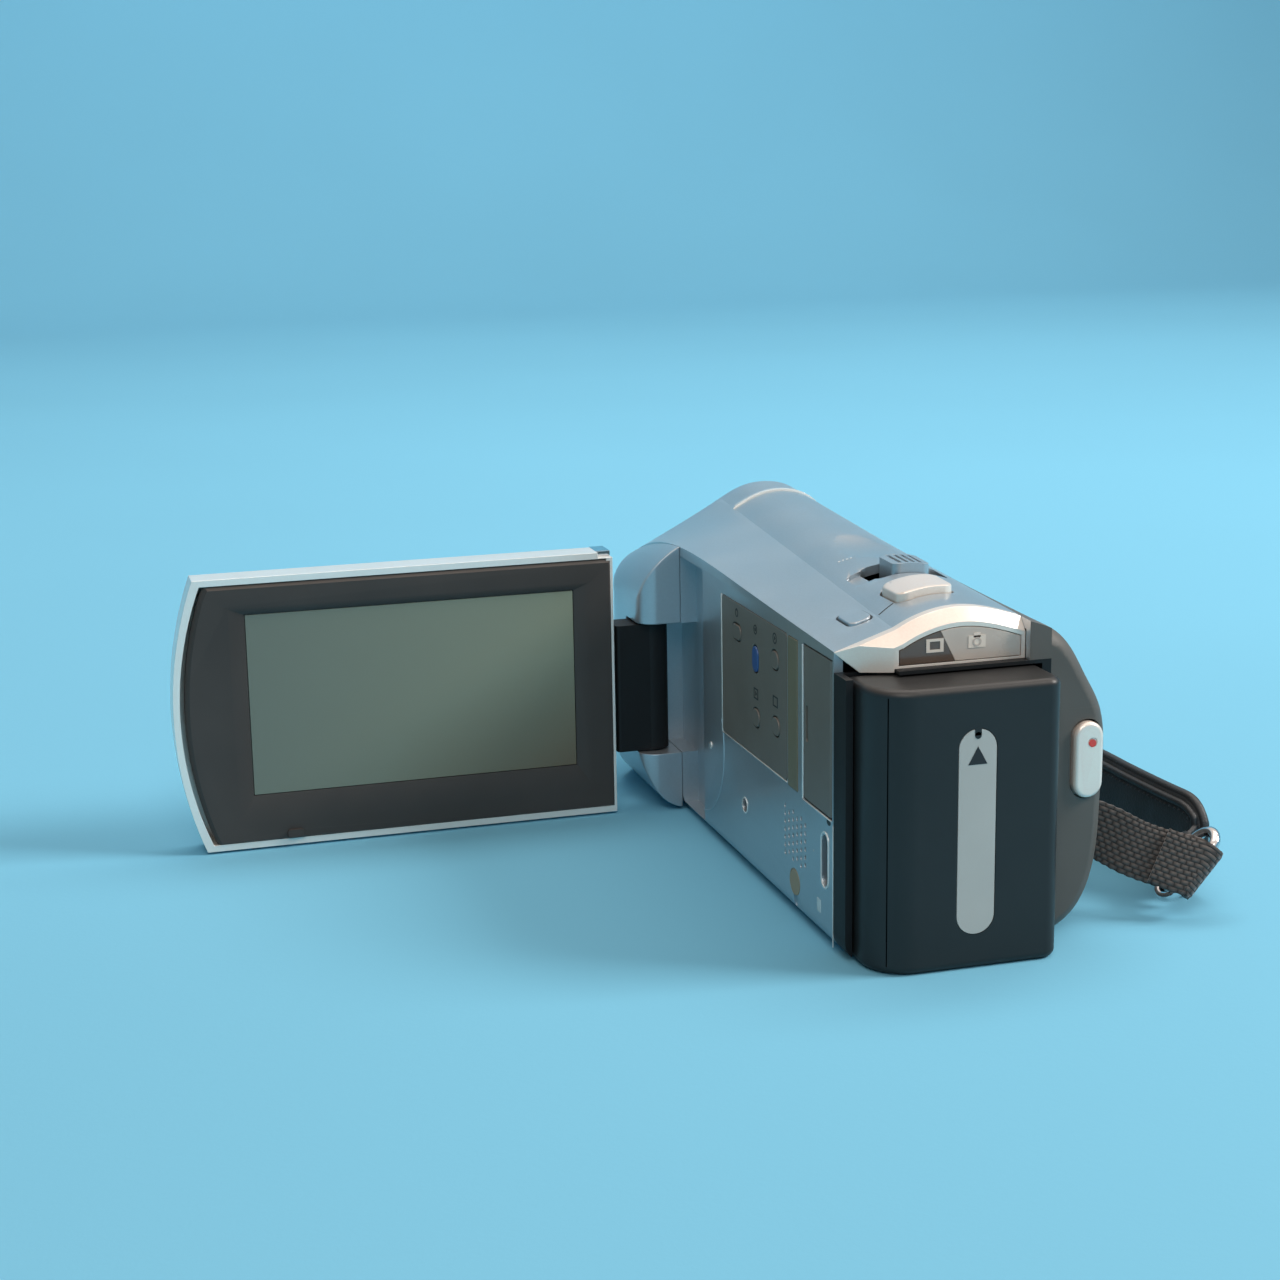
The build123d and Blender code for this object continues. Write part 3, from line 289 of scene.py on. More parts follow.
def metal(name, colour, rough, brushed=False):
    # bare metal: cloudy where polished, in fine lines where brushed
    n = Nodes(name)
    if brushed:
        mapping = n.add("ShaderNodeMapping")
        mapping.inputs["Scale"].default_value = bareMetal["brushScale"]
        n.link(n.coords.outputs["Object"], mapping.inputs["Vector"])
        grain = n.noise(1, detail=3, vector=mapping.outputs["Vector"])
    else:
        grain = n.noise(bareMetal["grainScale"])
    low, high = bareMetal["gloss"]
    n.set(Base_Color=n.clouded(grain, colour, bareMetal["spread"]), Metallic=1.0)
    n.set(Roughness=n.spread(grain, rough * low, rough * high))
    n.set(Normal=n.bump(grain, bareMetal["strength"], bareMetal["depth"] * mm))
    return n.material


clear = {
    "cloudScale": 60, "spread": 0.1, "dustScale": 900, "dustShare": 0.35, "dustFrom": (0.66, 0.8),
    "dustTone": 1.5, "coatRough": 0.08, "glossScale": 140, "gloss": (0.8, 1.5),
    "swell": (400, 2, 0.05, 0.01),
}


def tinted(name, colour, rough=0.12, coat=0.6):
    # hard clear or smoked plastic over a dark or pale ground
    n = Nodes(name)
    base = n.clouded(n.noise(clear["cloudScale"], detail=3), colour, clear["spread"])
    specks = n.noise(clear["dustScale"], detail=2, rough=0.5)
    dust = n.mask(specks, clear["dustShare"], clear["dustFrom"])
    low, high = clear["gloss"]
    n.set(Base_Color=n.mix(dust, base, scaled(colour, clear["dustTone"])))
    n.set(Coat_Weight=coat, Coat_Roughness=clear["coatRough"])
    n.set(Roughness=n.spread(n.noise(clear["glossScale"], detail=3), rough * low, rough * high))
    n.swell(*clear["swell"])
    return n.material


coating = {
    "tintScale": 40, "violet": (0.35, 0.32, 0.62), "teal": (0.18, 0.42, 0.5), "glossScale": 300,
    "gloss": (0.01, 0.05), "coatRough": 0.02, "clear": 0.85, "index": 1.5,
    "swell": (200, 2, 0.02, 0.01),
}


def lensCoating(name):
    # clear glass under a faintly coloured coating
    n = Nodes(name)
    tint = n.ramp(n.noise(coating["tintScale"], detail=2), coating["violet"], coating["teal"])
    gloss = n.spread(n.noise(coating["glossScale"], detail=2), *coating["gloss"])
    n.set(Base_Color=tint, Roughness=gloss, Coat_Weight=1.0, Coat_Roughness=coating["coatRough"])
    n.set(Transmission_Weight=coating["clear"], IOR=coating["index"])
    n.swell(*coating["swell"])
    return n.material


board = {
    "padScale": 420, "padTone": 1.7, "padFrom": (0.25, 0.45), "glossScale": 200, "gloss": (0.3, 0.45),
    "strength": 0.3, "depth": 0.03,
}


def circuit(name, colour):
    # lacquered board with small paler pads
    n = Nodes(name)
    pads = n.add("ShaderNodeTexVoronoi", distance="MANHATTAN", feature="F1")
    pads.inputs["Scale"].default_value = board["padScale"]
    n.link(n.coords.outputs["Object"], pads.inputs["Vector"])
    distance = pads.outputs["Distance"]
    gloss = n.spread(n.noise(board["glossScale"], detail=2), *board["gloss"])
    base = n.ramp(distance, scaled(colour, board["padTone"]), colour, board["padFrom"])
    n.set(Base_Color=base, Roughness=gloss)
    n.set(Normal=n.bump(distance, board["strength"], board["depth"] * mm))
    return n.material


# the screen's tones are a painted reflection: a far and a near tone and a brown lower near corner
display = {
    "far": srgb(112, 118, 106), "near": srgb(134, 140, 120), "corner": srgb(112, 100, 78),
    "cornerFrom": (0.35, 0.95), "glossScale": 8, "gloss": (0.27, 0.31), "coat": 0.3, "coatRough": 0.25,
}


def screenFace(name):
    # unlit display behind a satin cover: grey-green, with a painted reflection that grows lighter towards the
    # near side and browner towards the lower near corner
    n = Nodes(name)
    low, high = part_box("lcd_glass")
    mapping = n.add("ShaderNodeMapping")
    mapping.inputs["Location"].default_value = (-low.x, -low.y, -low.z)
    n.link(n.coords.outputs["Object"], mapping.inputs["Vector"])
    parts = n.add("ShaderNodeSeparateXYZ")
    n.link(mapping.outputs["Vector"], parts.inputs["Vector"])
    across = n.math("DIVIDE", parts.outputs["X"], high.x - low.x)
    up = n.math("DIVIDE", parts.outputs["Z"], high.z - low.z)
    corner = n.math("MULTIPLY", across, n.math("SUBTRACT", 1.0, up))
    wide = n.ramp(across, display["far"], display["near"], (0.0, 1.0))
    tone = n.mix(n.mask(corner, 1, display["cornerFrom"]), wide, display["corner"])
    gloss = n.spread(n.noise(display["glossScale"], detail=1), *display["gloss"])
    n.set(Base_Color=tone, Roughness=gloss)
    n.set(Coat_Weight=display["coat"], Coat_Roughness=display["coatRough"])
    return n.material


hide = {
    "poreScale": 1300, "poreFrom": (0.0, 0.22), "creaseScale": 260, "toneScale": 60, "dark": 0.75,
    "light": 1.3, "wornFrom": (0.5, 0.6), "wornShare": 0.3, "wornTone": 2.6, "gloss": (0.38, 0.58),
    "shine": 0.5, "poreStrength": 0.4, "poreDepth": 0.05, "creaseStrength": 0.35, "creaseDepth": 0.12,
}


def leather(name, colour):
    # pores over soft creases, rubbed paler on the folds
    n = Nodes(name)
    cells = n.add("ShaderNodeTexVoronoi", feature="DISTANCE_TO_EDGE")
    cells.inputs["Scale"].default_value = hide["poreScale"]
    n.link(n.coords.outputs["Object"], cells.inputs["Vector"])
    pores = n.mask(cells.outputs["Distance"], 1, hide["poreFrom"])
    creases = n.noise(hide["creaseScale"], detail=5, rough=0.65)
    base = n.ramp(n.noise(hide["toneScale"]), scaled(colour, hide["dark"]), scaled(colour, hide["light"]))
    rubbed = n.math("MULTIPLY", n.worn(*hide["wornFrom"]), hide["wornShare"])
    base = n.mix(rubbed, base, scaled(colour, hide["wornTone"]))
    n.set(Base_Color=base, Roughness=n.spread(creases, *hide["gloss"]), Specular_IOR_Level=hide["shine"])
    folds = n.bump(creases, hide["creaseStrength"], hide["creaseDepth"] * mm)
    n.set(Normal=n.bump(pores, hide["poreStrength"], hide["poreDepth"] * mm, folds))
    return n.material


weave = {
    "threadWidth": 0.8, "threadPitch": 1.3, "acrossPower": 0.6, "alongPower": 0.7, "dark": 0.35,
    "light": 1.9, "threadShadeFrom": (0.1, 0.95), "fuzzScale": 1500, "fuzzShare": 0.35, "fuzzTone": 2.4,
    "gloss": (0.85, 0.6), "sheen": 0.25, "sheenRough": 0.4, "strength": 0.9, "depth": 0.22,
}


def webbing(name, colour):
    # basket weave that follows the strap: U across it and V along it, both in millimetres
    n = Nodes(name)
    uv = n.add("ShaderNodeUVMap", uv_map="weave")
    parts = n.add("ShaderNodeSeparateXYZ")
    n.link(uv.outputs["UV"], parts.inputs["Vector"])
    column = n.math("MULTIPLY", parts.outputs["X"], 1 / weave["threadWidth"])
    row = n.math("MULTIPLY", parts.outputs["Y"], 1 / weave["threadPitch"])
    # every second column is half a thread further on
    shift = n.math("MULTIPLY", n.math("MODULO", n.math("FLOOR", column), 2.0), 0.5)
    shifted = n.math("ADD", row, shift)
    across = n.math("ABSOLUTE", n.math("SINE", n.math("MULTIPLY", column, math.pi)))
    along = n.math("ABSOLUTE", n.math("SINE", n.math("MULTIPLY", shifted, math.pi)))
    across = n.math("POWER", across, weave["acrossPower"])
    height = n.math("MULTIPLY", across, n.math("POWER", along, weave["alongPower"]))
    # colour from the weave height: painted shade down between the threads and painted highlight on their
    # crowns
    tone = n.ramp(height, scaled(colour, weave["dark"]), scaled(colour, weave["light"]), weave["threadShadeFrom"])
    fuzz = n.mask(n.noise(weave["fuzzScale"], detail=3), weave["fuzzShare"])
    n.set(Base_Color=n.mix(fuzz, tone, scaled(colour, weave["fuzzTone"])))
    n.set(Roughness=n.spread(height, *weave["gloss"]))
    n.set(Sheen_Weight=weave["sheen"], Sheen_Roughness=weave["sheenRough"])
    n.set(Normal=n.bump(height, weave["strength"], weave["depth"] * mm))
    return n.material


finishes = {
    "silver": metalPaint("silverLacquer", srgb(176, 184, 190)),
    # silver_warm is painted light: a pale warm silver that stands in for warm lamp light on the rear-facing
    # faces
    "silver_warm": metalPaint("paintedWarmLightSilver", srgb(244, 226, 214), rough=0.3, metal=0.3),
    "grip_grey": moulded("gripGrey", srgb(88, 85, 81), 0.5, 2400, 0.015, shine=0.35),
    "black_plastic": moulded("blackPlastic", srgb(20, 20, 21), rough=0.5, shine=0.3),
    "black_satin": moulded("batterySatin", srgb(33, 33, 33), 0.4, 3000, 0.01, shine=0.42),
    "bezel_brown": moulded("bezelBrown", srgb(62, 57, 54), 0.5, 2800, 0.012),
    "side_grey": moulded("sideGrey", srgb(116, 108, 100), 0.42, 2600, 0.01, shine=0.45),
    "olive": moulded("oliveRib", srgb(122, 113, 92), rough=0.4, spread=0.08),
    "chrome": metal("polishedTrim", srgb(212, 212, 214), 0.12),
    "steel": metal("brushedSteel", srgb(168, 168, 170), 0.3, brushed=True),
    "aluminium": metal("cellCase", srgb(190, 190, 192), 0.35, brushed=True),
    "label_grey": moulded("paleLabel", srgb(184, 182, 177), rough=0.5, grain=1600, spread=0.05, wear=0.0),
    "screen_glass": screenFace("displayPaintedReflection"),
    "dark_window": tinted("smokedWindow", srgb(96, 78, 66)),
    "light_window": tinted("milkyWindow", srgb(205, 190, 178), rough=0.25),
    "blue_key": tinted("blueKey", srgb(52, 92, 150), rough=0.3, coat=0.2),
    "lens_glass": lensCoating("coatedGlass"),
    "board_green": circuit("circuitBoard", srgb(30, 92, 58)),
    "leather_black": leather("strapLeather", srgb(34, 37, 40)),
    "nylon_black": webbing("strapWebbing", srgb(58, 52, 49)),
}
extras = {
    "inkDark": moulded("darkInk", srgb(40, 40, 42), rough=0.5, wear=0.0),
    "inkPale": moulded("paleInk", srgb(226, 214, 202), rough=0.5, wear=0.0),
    "redDot": tinted("redDot", srgb(214, 62, 52), rough=0.25, coat=0.3),
    # pale warm silver, partly real bright trim and partly painted highlight: on the screen rim, the edge
    # strips and the front lip it stands in for highlight
    "paleSilverAndHighlight": metalPaint("paleSilverAndHighlight", srgb(240, 236, 228), rough=0.24, metal=0.3),
    "latchBeige": moulded("latchBeige", srgb(168, 148, 118), rough=0.45),
}
print("stage: materials made", len(finishes) + len(extras))

for node, obj in frame["nodes"].items():
    obj.data.materials.clear()
    obj.data.materials.append(finishes[slotOf[node]])


# the hard pieces: each CAD piece that shows gets a merged copy with softened edges

hardCopy = {"merge": 0.002, "flat": 0.4, "bevelAngle": 35, "bevelSegments": 2, "smooth": 40, "weight": 60}


def copyNode(node, name):
    obj = addObject(name, frame["nodes"][node].data.copy())
    bpy.ops.object.mode_set(mode="EDIT")
    bpy.ops.mesh.select_all(action="SELECT")
    bpy.ops.mesh.remove_doubles(threshold=hardCopy["merge"] * mm)
    bpy.ops.mesh.dissolve_limited(angle_limit=math.radians(hardCopy["flat"]), delimit={"SHARP"})
    bpy.ops.object.mode_set(mode="OBJECT")
    if obj.data.has_custom_normals:
        bpy.ops.mesh.customdata_custom_splitnormals_clear()
    return obj


def pickParts(obj, verts=None, edges=None, faces=None):
    # selects by place and leaves edit mode on: each test gets the part's points in millimetres
    pick(obj)
    bpy.ops.object.mode_set(mode="EDIT")
    kind = "VERT" if verts else "EDGE" if edges else "FACE"
    bpy.ops.mesh.select_mode(type=kind)
    bpy.ops.mesh.select_all(action="DESELECT")
    bpy.ops.object.mode_set(mode="OBJECT")
    points = [v.co / mm for v in obj.data.vertices]
    if verts:
        for v in obj.data.vertices:
            v.select = bool(verts(points[v.index]))
    if edges:
        for e in obj.data.edges:
            e.select = bool(edges(points[e.vertices[0]], points[e.vertices[1]]))
    if faces:
        for f in obj.data.polygons:
            f.select = bool(faces(f.center / mm, f.normal))
    bpy.ops.object.mode_set(mode="EDIT")


def finishHard(obj, node, edge, angle=hardCopy["bevelAngle"], segments=hardCopy["bevelSegments"]):
    applyModifier(obj, "BEVEL", width=edge * mm, segments=segments, limit_method="ANGLE",
                  angle_limit=math.radians(angle), use_clamp_overlap=True, miter_outer="MITER_ARC")
    smooth(obj, hardCopy["smooth"])
    applyModifier(obj, "WEIGHTED_NORMAL", keep_sharp=True, weight=hardCopy["weight"])
    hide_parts(node)
    return place(obj, bodyOf[node], slotOf[node])


# each node's visible name and the width of its softened edges
shellEdges = {
    "left_cabinet": ("leftCabinet", 0.22), "grip_cover": ("gripCover", 0.2),
    "grip_shoulder": ("gripShoulder", 0.2), "top_cover": ("topCover", 0.18),
    "front_cabinet": ("frontCabinet", 0.25), "hinge_housing": ("hingeHousing", 0.3),
    "bottom_cover": ("bottomCover", 0.15), "card_cover": ("cardCover", 0.15),
    "battery_bay": ("batteryBay", 0.12), "battery_latch": ("batteryCatch", 0.15),
    "rear_cap": ("rearCap", 0.2), "lamp_window_dark": ("lampWindowDark", 0.1),
    "lamp_window_light": ("lampWindowLight", 0.1), "control_panel": ("controlPanel", 0.1),
    "side_rib": ("sideRib", 0.15), "jack_cover": ("jackCover", 0.12), "usb_port": ("dataSocket", 0.06),
    "latch_pad": ("latchPad", 0.08), "reset_button": ("resetButton", 0.08),
    "zoom_lever": ("zoomLever", 0.15), "photo_button": ("photoButton", 0.3),
    "mode_button": ("modeButton", 0.25), "rec_button": ("recButton", 0.35),
    "hinge_arm": ("hingeArm", 0.25), "tilt_bearing": ("tiltBearing", 0.15),
    "lcd_end_trim": ("screenEndTrim", 0.15), "lcd_glass": ("screenGlass", 0.08),
    "lens_trim": ("lensTrim", 0.3), "battery_label": ("batteryLabel", 0.06),
    "shutter_upper": ("shutterUpper", 0.08), "shutter_lower": ("shutterLower", 0.08),
    "power_button": ("powerButton", 0.12), "easy_button": ("easyButton", 0.12),
    "share_button": ("shareButton", 0.12), "playback_button": ("playbackButton", 0.12),
    "display_button": ("displayButton", 0.12), "base_screws": ("baseScrews", 0.08),
    "tripod_socket": ("tripodSocket", 0.1),
}
hard = {}
for node, (name, edge) in shellEdges.items():
    hard[node] = finishHard(copyNode(node, name), node, edge)
print("stage: hard pieces dressed", len(hard))

# screen: a rim stands forward round a slightly smaller dark surround; the rim is painted pale silver as a
# painted highlight
rim = {
    "forward": 1.7, "facing": -0.99, "depth": 0.02, "edge": 0.5, "edgeAngle": 50, "edgeSegments": 3,
    "band": 1.3, "leftBand": 7.2, "surroundTop": -0.75, "surroundFoot": 0.375, "surroundLeft": 0.9,
    "surroundEdge": 0.15,
}
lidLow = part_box("lcd_lid")[0] / mm
lid = copyNode("lcd_lid", "screenLid")
pickParts(lid, faces=lambda c, n: n.y < rim["facing"] and abs(c.y - lidLow.y) < rim["depth"])
bpy.ops.mesh.extrude_region_move(TRANSFORM_OT_translate={"value": (0, -rim["forward"] * mm, 0)})
finishHard(lid, "lcd_lid", rim["edge"], rim["edgeAngle"], rim["edgeSegments"])
# painted highlight: the rim gets the pale silver, lighter than the body's silver
paint(lid, slotOf["lcd_lid"], extras["paleSilverAndHighlight"])

surround = copyNode("lcd_bezel", "screenBezel")
bezelLow, bezelHigh = (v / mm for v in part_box("lcd_bezel"))
for test, shift in (
    (lambda p: p.z > bezelHigh.z - rim["band"], (0, 0, rim["surroundTop"])),
    (lambda p: p.z < bezelLow.z + rim["band"], (0, 0, rim["surroundFoot"])),
    (lambda p: p.x < bezelLow.x + rim["leftBand"], (rim["surroundLeft"], 0, 0)),
):
    pickParts(surround, verts=test)
    bpy.ops.transform.translate(value=[v * mm for v in shift])
finishHard(surround, "lcd_bezel", rim["surroundEdge"])

# battery: the edges round its top are well rounded, as a moulded pack's are
pack = {"topRadius": 1.5, "topSegments": 5, "topDepth": 0.02, "edge": 0.2}
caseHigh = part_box("battery_case")[1] / mm
battery = copyNode("battery_case", "batteryCase")
pickParts(battery, edges=lambda a, b: min(a.z, b.z) > caseHigh.z - pack["topDepth"])
bpy.ops.mesh.bevel(offset=pack["topRadius"] * mm, segments=pack["topSegments"], clamp_overlap=True)
finishHard(battery, "battery_case", pack["edge"])
print("stage: screen and battery shaped")

paint(hard["latch_pad"], slotOf["latch_pad"], extras["latchBeige"])
for node in ("zoom_lever", "mode_button"):
    paint(hard[node], slotOf[node], finishes["silver"])


# small added pieces

def addBlock(name, low, high, body, slotName, finish=None, edge=0.06):
    centre = [(a + b) / 2 * mm for a, b in zip(low, high)]
    bpy.ops.mesh.primitive_cube_add(size=1, location=centre)
    obj = bpy.context.object
    obj.name = name
    obj.scale = [(b - a) * mm for a, b in zip(low, high)]
    settle(obj)
    if edge:
        applyModifier(obj, "BEVEL", width=edge * mm, segments=2, limit_method="NONE")
    smooth(obj)
    return place(obj, body, slotName, finish)


facings = {
    "left": Matrix(((0, 0, -1, 0), (-1, 0, 0, 0), (0, 1, 0, 0), (0, 0, 0, 1))),
    "rear": Matrix(((1, 0, 0, 0), (0, 0, -1, 0), (0, 1, 0, 0), (0, 0, 0, 1))),
}


def addFlat(name, corners, centre, size, facing, body, slotName, finish,
            raised=0.03, hollow=0.0, turn=0.0, stretch=1.0):
    # a flat printed or inlaid shape: a circle of few or many corners, extruded by its ink thickness
    bpy.ops.mesh.primitive_circle_add(vertices=corners, radius=size * mm, fill_type="NGON")
    obj = bpy.context.object
    obj.name = name
    bpy.ops.object.mode_set(mode="EDIT")
    bpy.ops.mesh.select_mode(type="FACE")
    bpy.ops.mesh.select_all(action="SELECT")
    if hollow:
        bpy.ops.mesh.inset(thickness=hollow * mm)
        bpy.ops.mesh.delete(type="FACE")
        bpy.ops.mesh.select_all(action="SELECT")
    bpy.ops.mesh.extrude_region_move(TRANSFORM_OT_translate={"value": (0, 0, raised * mm)})
    bpy.ops.mesh.select_all(action="SELECT")
    bpy.ops.mesh.normals_make_consistent(inside=False)
    bpy.ops.object.mode_set(mode="OBJECT")
    spin = Matrix.Rotation(math.radians(turn), 4, "Z")
    wide = Matrix.Diagonal((stretch, 1, 1, 1))
    obj.data.transform(Matrix.Translation([v * mm for v in centre]) @ facings[facing] @ wide @ spin)
    smooth(obj)
    return place(obj, body, slotName, finish)


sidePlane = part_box("left_cabinet")[0].x / mm
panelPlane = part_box("control_panel")[0].x / mm
panelLow, panelHigh = (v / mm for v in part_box("control_panel"))
jackLow, jackHigh = (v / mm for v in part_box("jack_cover"))

# painted highlights: thin pale silver strips beside the control panel and the jack cover, and one at the rear
beads = {
    "out": 0.16, "root": 0.1, "width": 0.4, "foot": 0.22,
    "panelGap": 0.05, "panelFootGap": 0.1, "panelReach": 0.4,
    "jackGap": 0.35, "jackStart": 0.2, "jackFootGap": 0.32, "jackReach": 0.6,
    "rearOut": 0.08, "rearFrom": -61.0, "rearTo": -60.72, "rearFoot": 0.6, "rearTop": 0.9,
}
panelFront = panelHigh.y + beads["panelGap"]
panelFoot = panelLow.z - beads["panelFootGap"]
jackFront = jackHigh.y + beads["jackGap"]
jackFoot = jackLow.z - beads["jackFootGap"]
panelEnd = panelHigh.y + beads["panelReach"]
jackEnd = jackHigh.y + beads["jackReach"]
# each one's lowest and highest y and z
highlightStrips = {
    "panelFrontBead": ((panelFront, panelLow.z), (panelFront + beads["width"], panelHigh.z)),
    "panelFootBead": ((panelLow.y, panelFoot - beads["foot"]), (panelEnd, panelFoot)),
    "jackFrontBead": ((jackFront, jackLow.z - beads["jackStart"]), (jackFront + beads["width"], jackHigh.z)),
    "jackFootBead": ((jackLow.y, jackFoot - beads["foot"]), (jackEnd, jackFoot)),
    "rearEdgeBead": ((beads["rearFrom"], beads["rearFoot"]), (beads["rearTo"], jackLow.z - beads["rearTop"])),
}
for name, (low, high) in highlightStrips.items():
    out = beads["rearOut"] if name == "rearEdgeBead" else beads["out"]
    low, high = (sidePlane - out, *low), (sidePlane + beads["root"], *high)
    addBlock(name, low, high, "camcorder", "silver", extras["paleSilverAndHighlight"])

# arc round the hinge on the left side
arc = {
    "y": 7.65, "z": 18.15, "radius": 14.4, "wire": 0.14, "around": 180, "sides": 10,
    "keepBehind": 5.5, "keepBelow": 24.0,
}
bpy.ops.mesh.primitive_torus_add(
    major_radius=arc["radius"] * mm, minor_radius=arc["wire"] * mm,
    major_segments=arc["around"], minor_segments=arc["sides"],
    location=(sidePlane * mm, arc["y"] * mm, arc["z"] * mm), rotation=(0, math.radians(90), 0),
)
arcBead = bpy.context.object
arcBead.name = "hingeArcBead"
settle(arcBead)
bpy.ops.object.mode_set(mode="EDIT")
for co, no in (((0, arc["keepBehind"] * mm, 0), (0, 1, 0)), ((0, 0, arc["keepBelow"] * mm), (0, 0, 1))):
    bpy.ops.mesh.select_all(action="SELECT")
    bpy.ops.mesh.bisect(plane_co=co, plane_no=no, clear_outer=True, use_fill=True)
bpy.ops.object.mode_set(mode="OBJECT")
smooth(arcBead, 60)
place(arcBead, "camcorder", "silver")

# generic signs on the keys: corners, height above the panel, y, z, size, hollow, turn, stretch
panelSigns = {
    "powerRing": (32, 0, -14.6, 45.2, 0.75, 0.2, 0, 1.0),
    "powerBar": (4, 0.01, -14.6, 45.75, 0.35, 0, 45, 0.35),
    "easyRing": (32, 0, -24.4, 44.3, 0.85, 0.22, 0, 1.0),
    "easyDot": (24, 0, -24.4, 44.3, 0.32, 0, 0, 1.0),
    "shareRing": (32, 0, -34.2, 44.9, 0.95, 0.22, 0, 1.0),
    "shareArrow": (3, 0, -34.2, 44.9, 0.45, 0, -90, 1.0),
    "playFrame": (4, 0, -24.6, 33.2, 1.35, 0.25, 45, 1.15),
    "playArrow": (3, 0, -24.6, 33.2, 0.5, 0, -90, 1.0),
    "displayFrame": (4, 0, -34.4, 34.2, 1.3, 0.25, 45, 1.3),
}
signs = []
for name, (corners, lift, y, z, size, hollow, turn, stretch) in panelSigns.items():
    sign = addFlat(name, corners, (panelPlane - lift, y, z), size, "left", "camcorder", "side_grey",
                   extras["inkDark"], hollow=hollow, turn=turn, stretch=stretch)
    signs.append(sign)
joinAll(signs, "panelIcons")

# small things on the left side: corners, y, z, size, finish, raised, turn, stretch
sideDetails = {
    "footScrew": (32, 0.9, 17.4, 0.65, "paleSilverAndHighlight", 0.12, 0, 1.0),
    "coverNotch": (24, -59.0, 20.7, 0.55, "inkDark", 0.04, 0, 1.5),
    # the cover notch is painted shade: a flat dark disc where the notch's hollow lies in shade
    "cardMark": (4, -54.7, 5.6, 1.5, "paleSilverAndHighlight", 0.04, 45, 0.75),
    "socketLine": (4, -52.3, 14.0, 0.2, "inkPale", 0.04, 45, 1.0),
}
for name, (corners, y, z, size, finish, raised, turn, stretch) in sideDetails.items():
    addFlat(name, corners, (sidePlane, y, z), size, "left", "camcorder", "silver",
            extras[finish], raised, turn=turn, stretch=stretch)

# rims of the data socket, a ring pulled out to a long round-ended one, and of the reset hole
socket = {"size": 1.75, "raised": 0.12, "hollow": 0.3, "pull": 3.0}
socketLow, socketHigh = (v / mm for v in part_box("usb_port"))
socketY, socketZ = (socketLow.y + socketHigh.y) / 2, (socketLow.z + socketHigh.z) / 2
socketRim = addFlat("socketRim", 40, (sidePlane, socketY, socketZ), socket["size"], "left", "camcorder",
                    "silver", extras["paleSilverAndHighlight"], raised=socket["raised"], hollow=socket["hollow"])
pickParts(socketRim, verts=lambda p: p.z > socketZ)
bpy.ops.transform.translate(value=(0, 0, socket["pull"] * mm))
bpy.ops.mesh.select_all(action="INVERT")
bpy.ops.transform.translate(value=(0, 0, -socket["pull"] * mm))
bpy.ops.object.mode_set(mode="OBJECT")
addFlat("resetRim", 32, (sidePlane, -18.1, 11.6), 1.5, "left", "camcorder", "silver",
        extras["paleSilverAndHighlight"], raised=0.08, hollow=0.28)

# icons in the two lamp windows: corners, x, z, size, raised, hollow, turn, stretch
windowSigns = {
    "filmIcon": (4, -2.6, 49.1, 1.5, 0.08, 0.42, 45, 1.35),
    "cameraBody": (4, 4.4, 49.2, 1.35, 0.08, 0, 45, 1.5),
    "cameraTop": (4, 4.4, 50.2, 0.5, 0.08, 0, 45, 1.6),
    "cameraEye": (32, 4.4, 49.2, 0.72, 0.12, 0.25, 0, 1.0),
}
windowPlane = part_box("lamp_window_dark")[0].y / mm
windowIcons = []
for name, (corners, x, z, size, raised, hollow, turn, stretch) in windowSigns.items():
    # the eye is a ring in the window's colour, a hair in front of the pale body
    eyeRing = name == "cameraEye"
    centre = (x, windowPlane - 0.02 if eyeRing else windowPlane, z)
    finish = finishes["light_window"] if eyeRing else extras["inkPale"]
    windowIcons.append(addFlat(name, corners, centre, size, "rear", "camcorder", "light_window",
                               finish, raised, hollow, turn, stretch))
joinAll(windowIcons[1:], "cameraIcon")

# red dot of the start key, arrow and notch of the battery label
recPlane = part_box("rec_button")[0].y / mm
addFlat("recDot", 32, (23.15, recPlane, 31.9), 0.62, "rear", "rec_button_body", "silver_warm",
        extras["redDot"], raised=0.05)
label = {
    "x": 0.1, "arrow": 33.7, "notch": 37.3, "notchTop": 38.45, "notchHalf": 0.55, "out": 0.04, "root": 0.2,
}
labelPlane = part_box("battery_label")[0].y / mm
addFlat("batteryArrow", 3, (label["x"], labelPlane, label["arrow"]), 1.9, "rear", "battery", "label_grey",
        extras["inkDark"], raised=label["out"], stretch=0.95)
addFlat("labelNotch", 24, (label["x"], labelPlane, label["notch"]), label["notchHalf"], "rear", "battery",
        "black_satin", finishes["black_satin"], raised=label["out"])
notchLow = (label["x"] - label["notchHalf"], labelPlane - label["out"], label["notch"])
notchHigh = (label["x"] + label["notchHalf"], labelPlane + label["root"], label["notchTop"])
addBlock("labelNotchMouth", notchLow, notchHigh, "battery", "black_satin", edge=0)


# things that lie on the curved top

dropFrom = 70


def layOn(name, low, high, rows, thick, finish, targets=("top_cover",), skew=0.0):
    # a thin sheet dropped straight down onto the hard pieces
    bpy.ops.mesh.primitive_grid_add(x_subdivisions=rows[0], y_subdivisions=rows[1], size=1)
    obj = bpy.context.object
    obj.name = name
    obj.scale = ((high[0] - low[0]) * mm, (high[1] - low[1]) * mm, 1)
    obj.rotation_euler.z = math.radians(skew)
    obj.location = ((low[0] + high[0]) / 2 * mm, (low[1] + high[1]) / 2 * mm, dropFrom * mm)
    settle(obj)
    for v in obj.data.vertices:
        hits = [hard[t].ray_cast(v.co, Vector((0, 0, -1))) for t in targets]
        v.co.z = max([hit[1].z for hit in hits if hit[0]] + [0])
    applyModifier(obj, "SOLIDIFY", thickness=thick * mm, offset=0.9)
    smooth(obj, 50)
    return place(obj, "camcorder", "silver", finish)


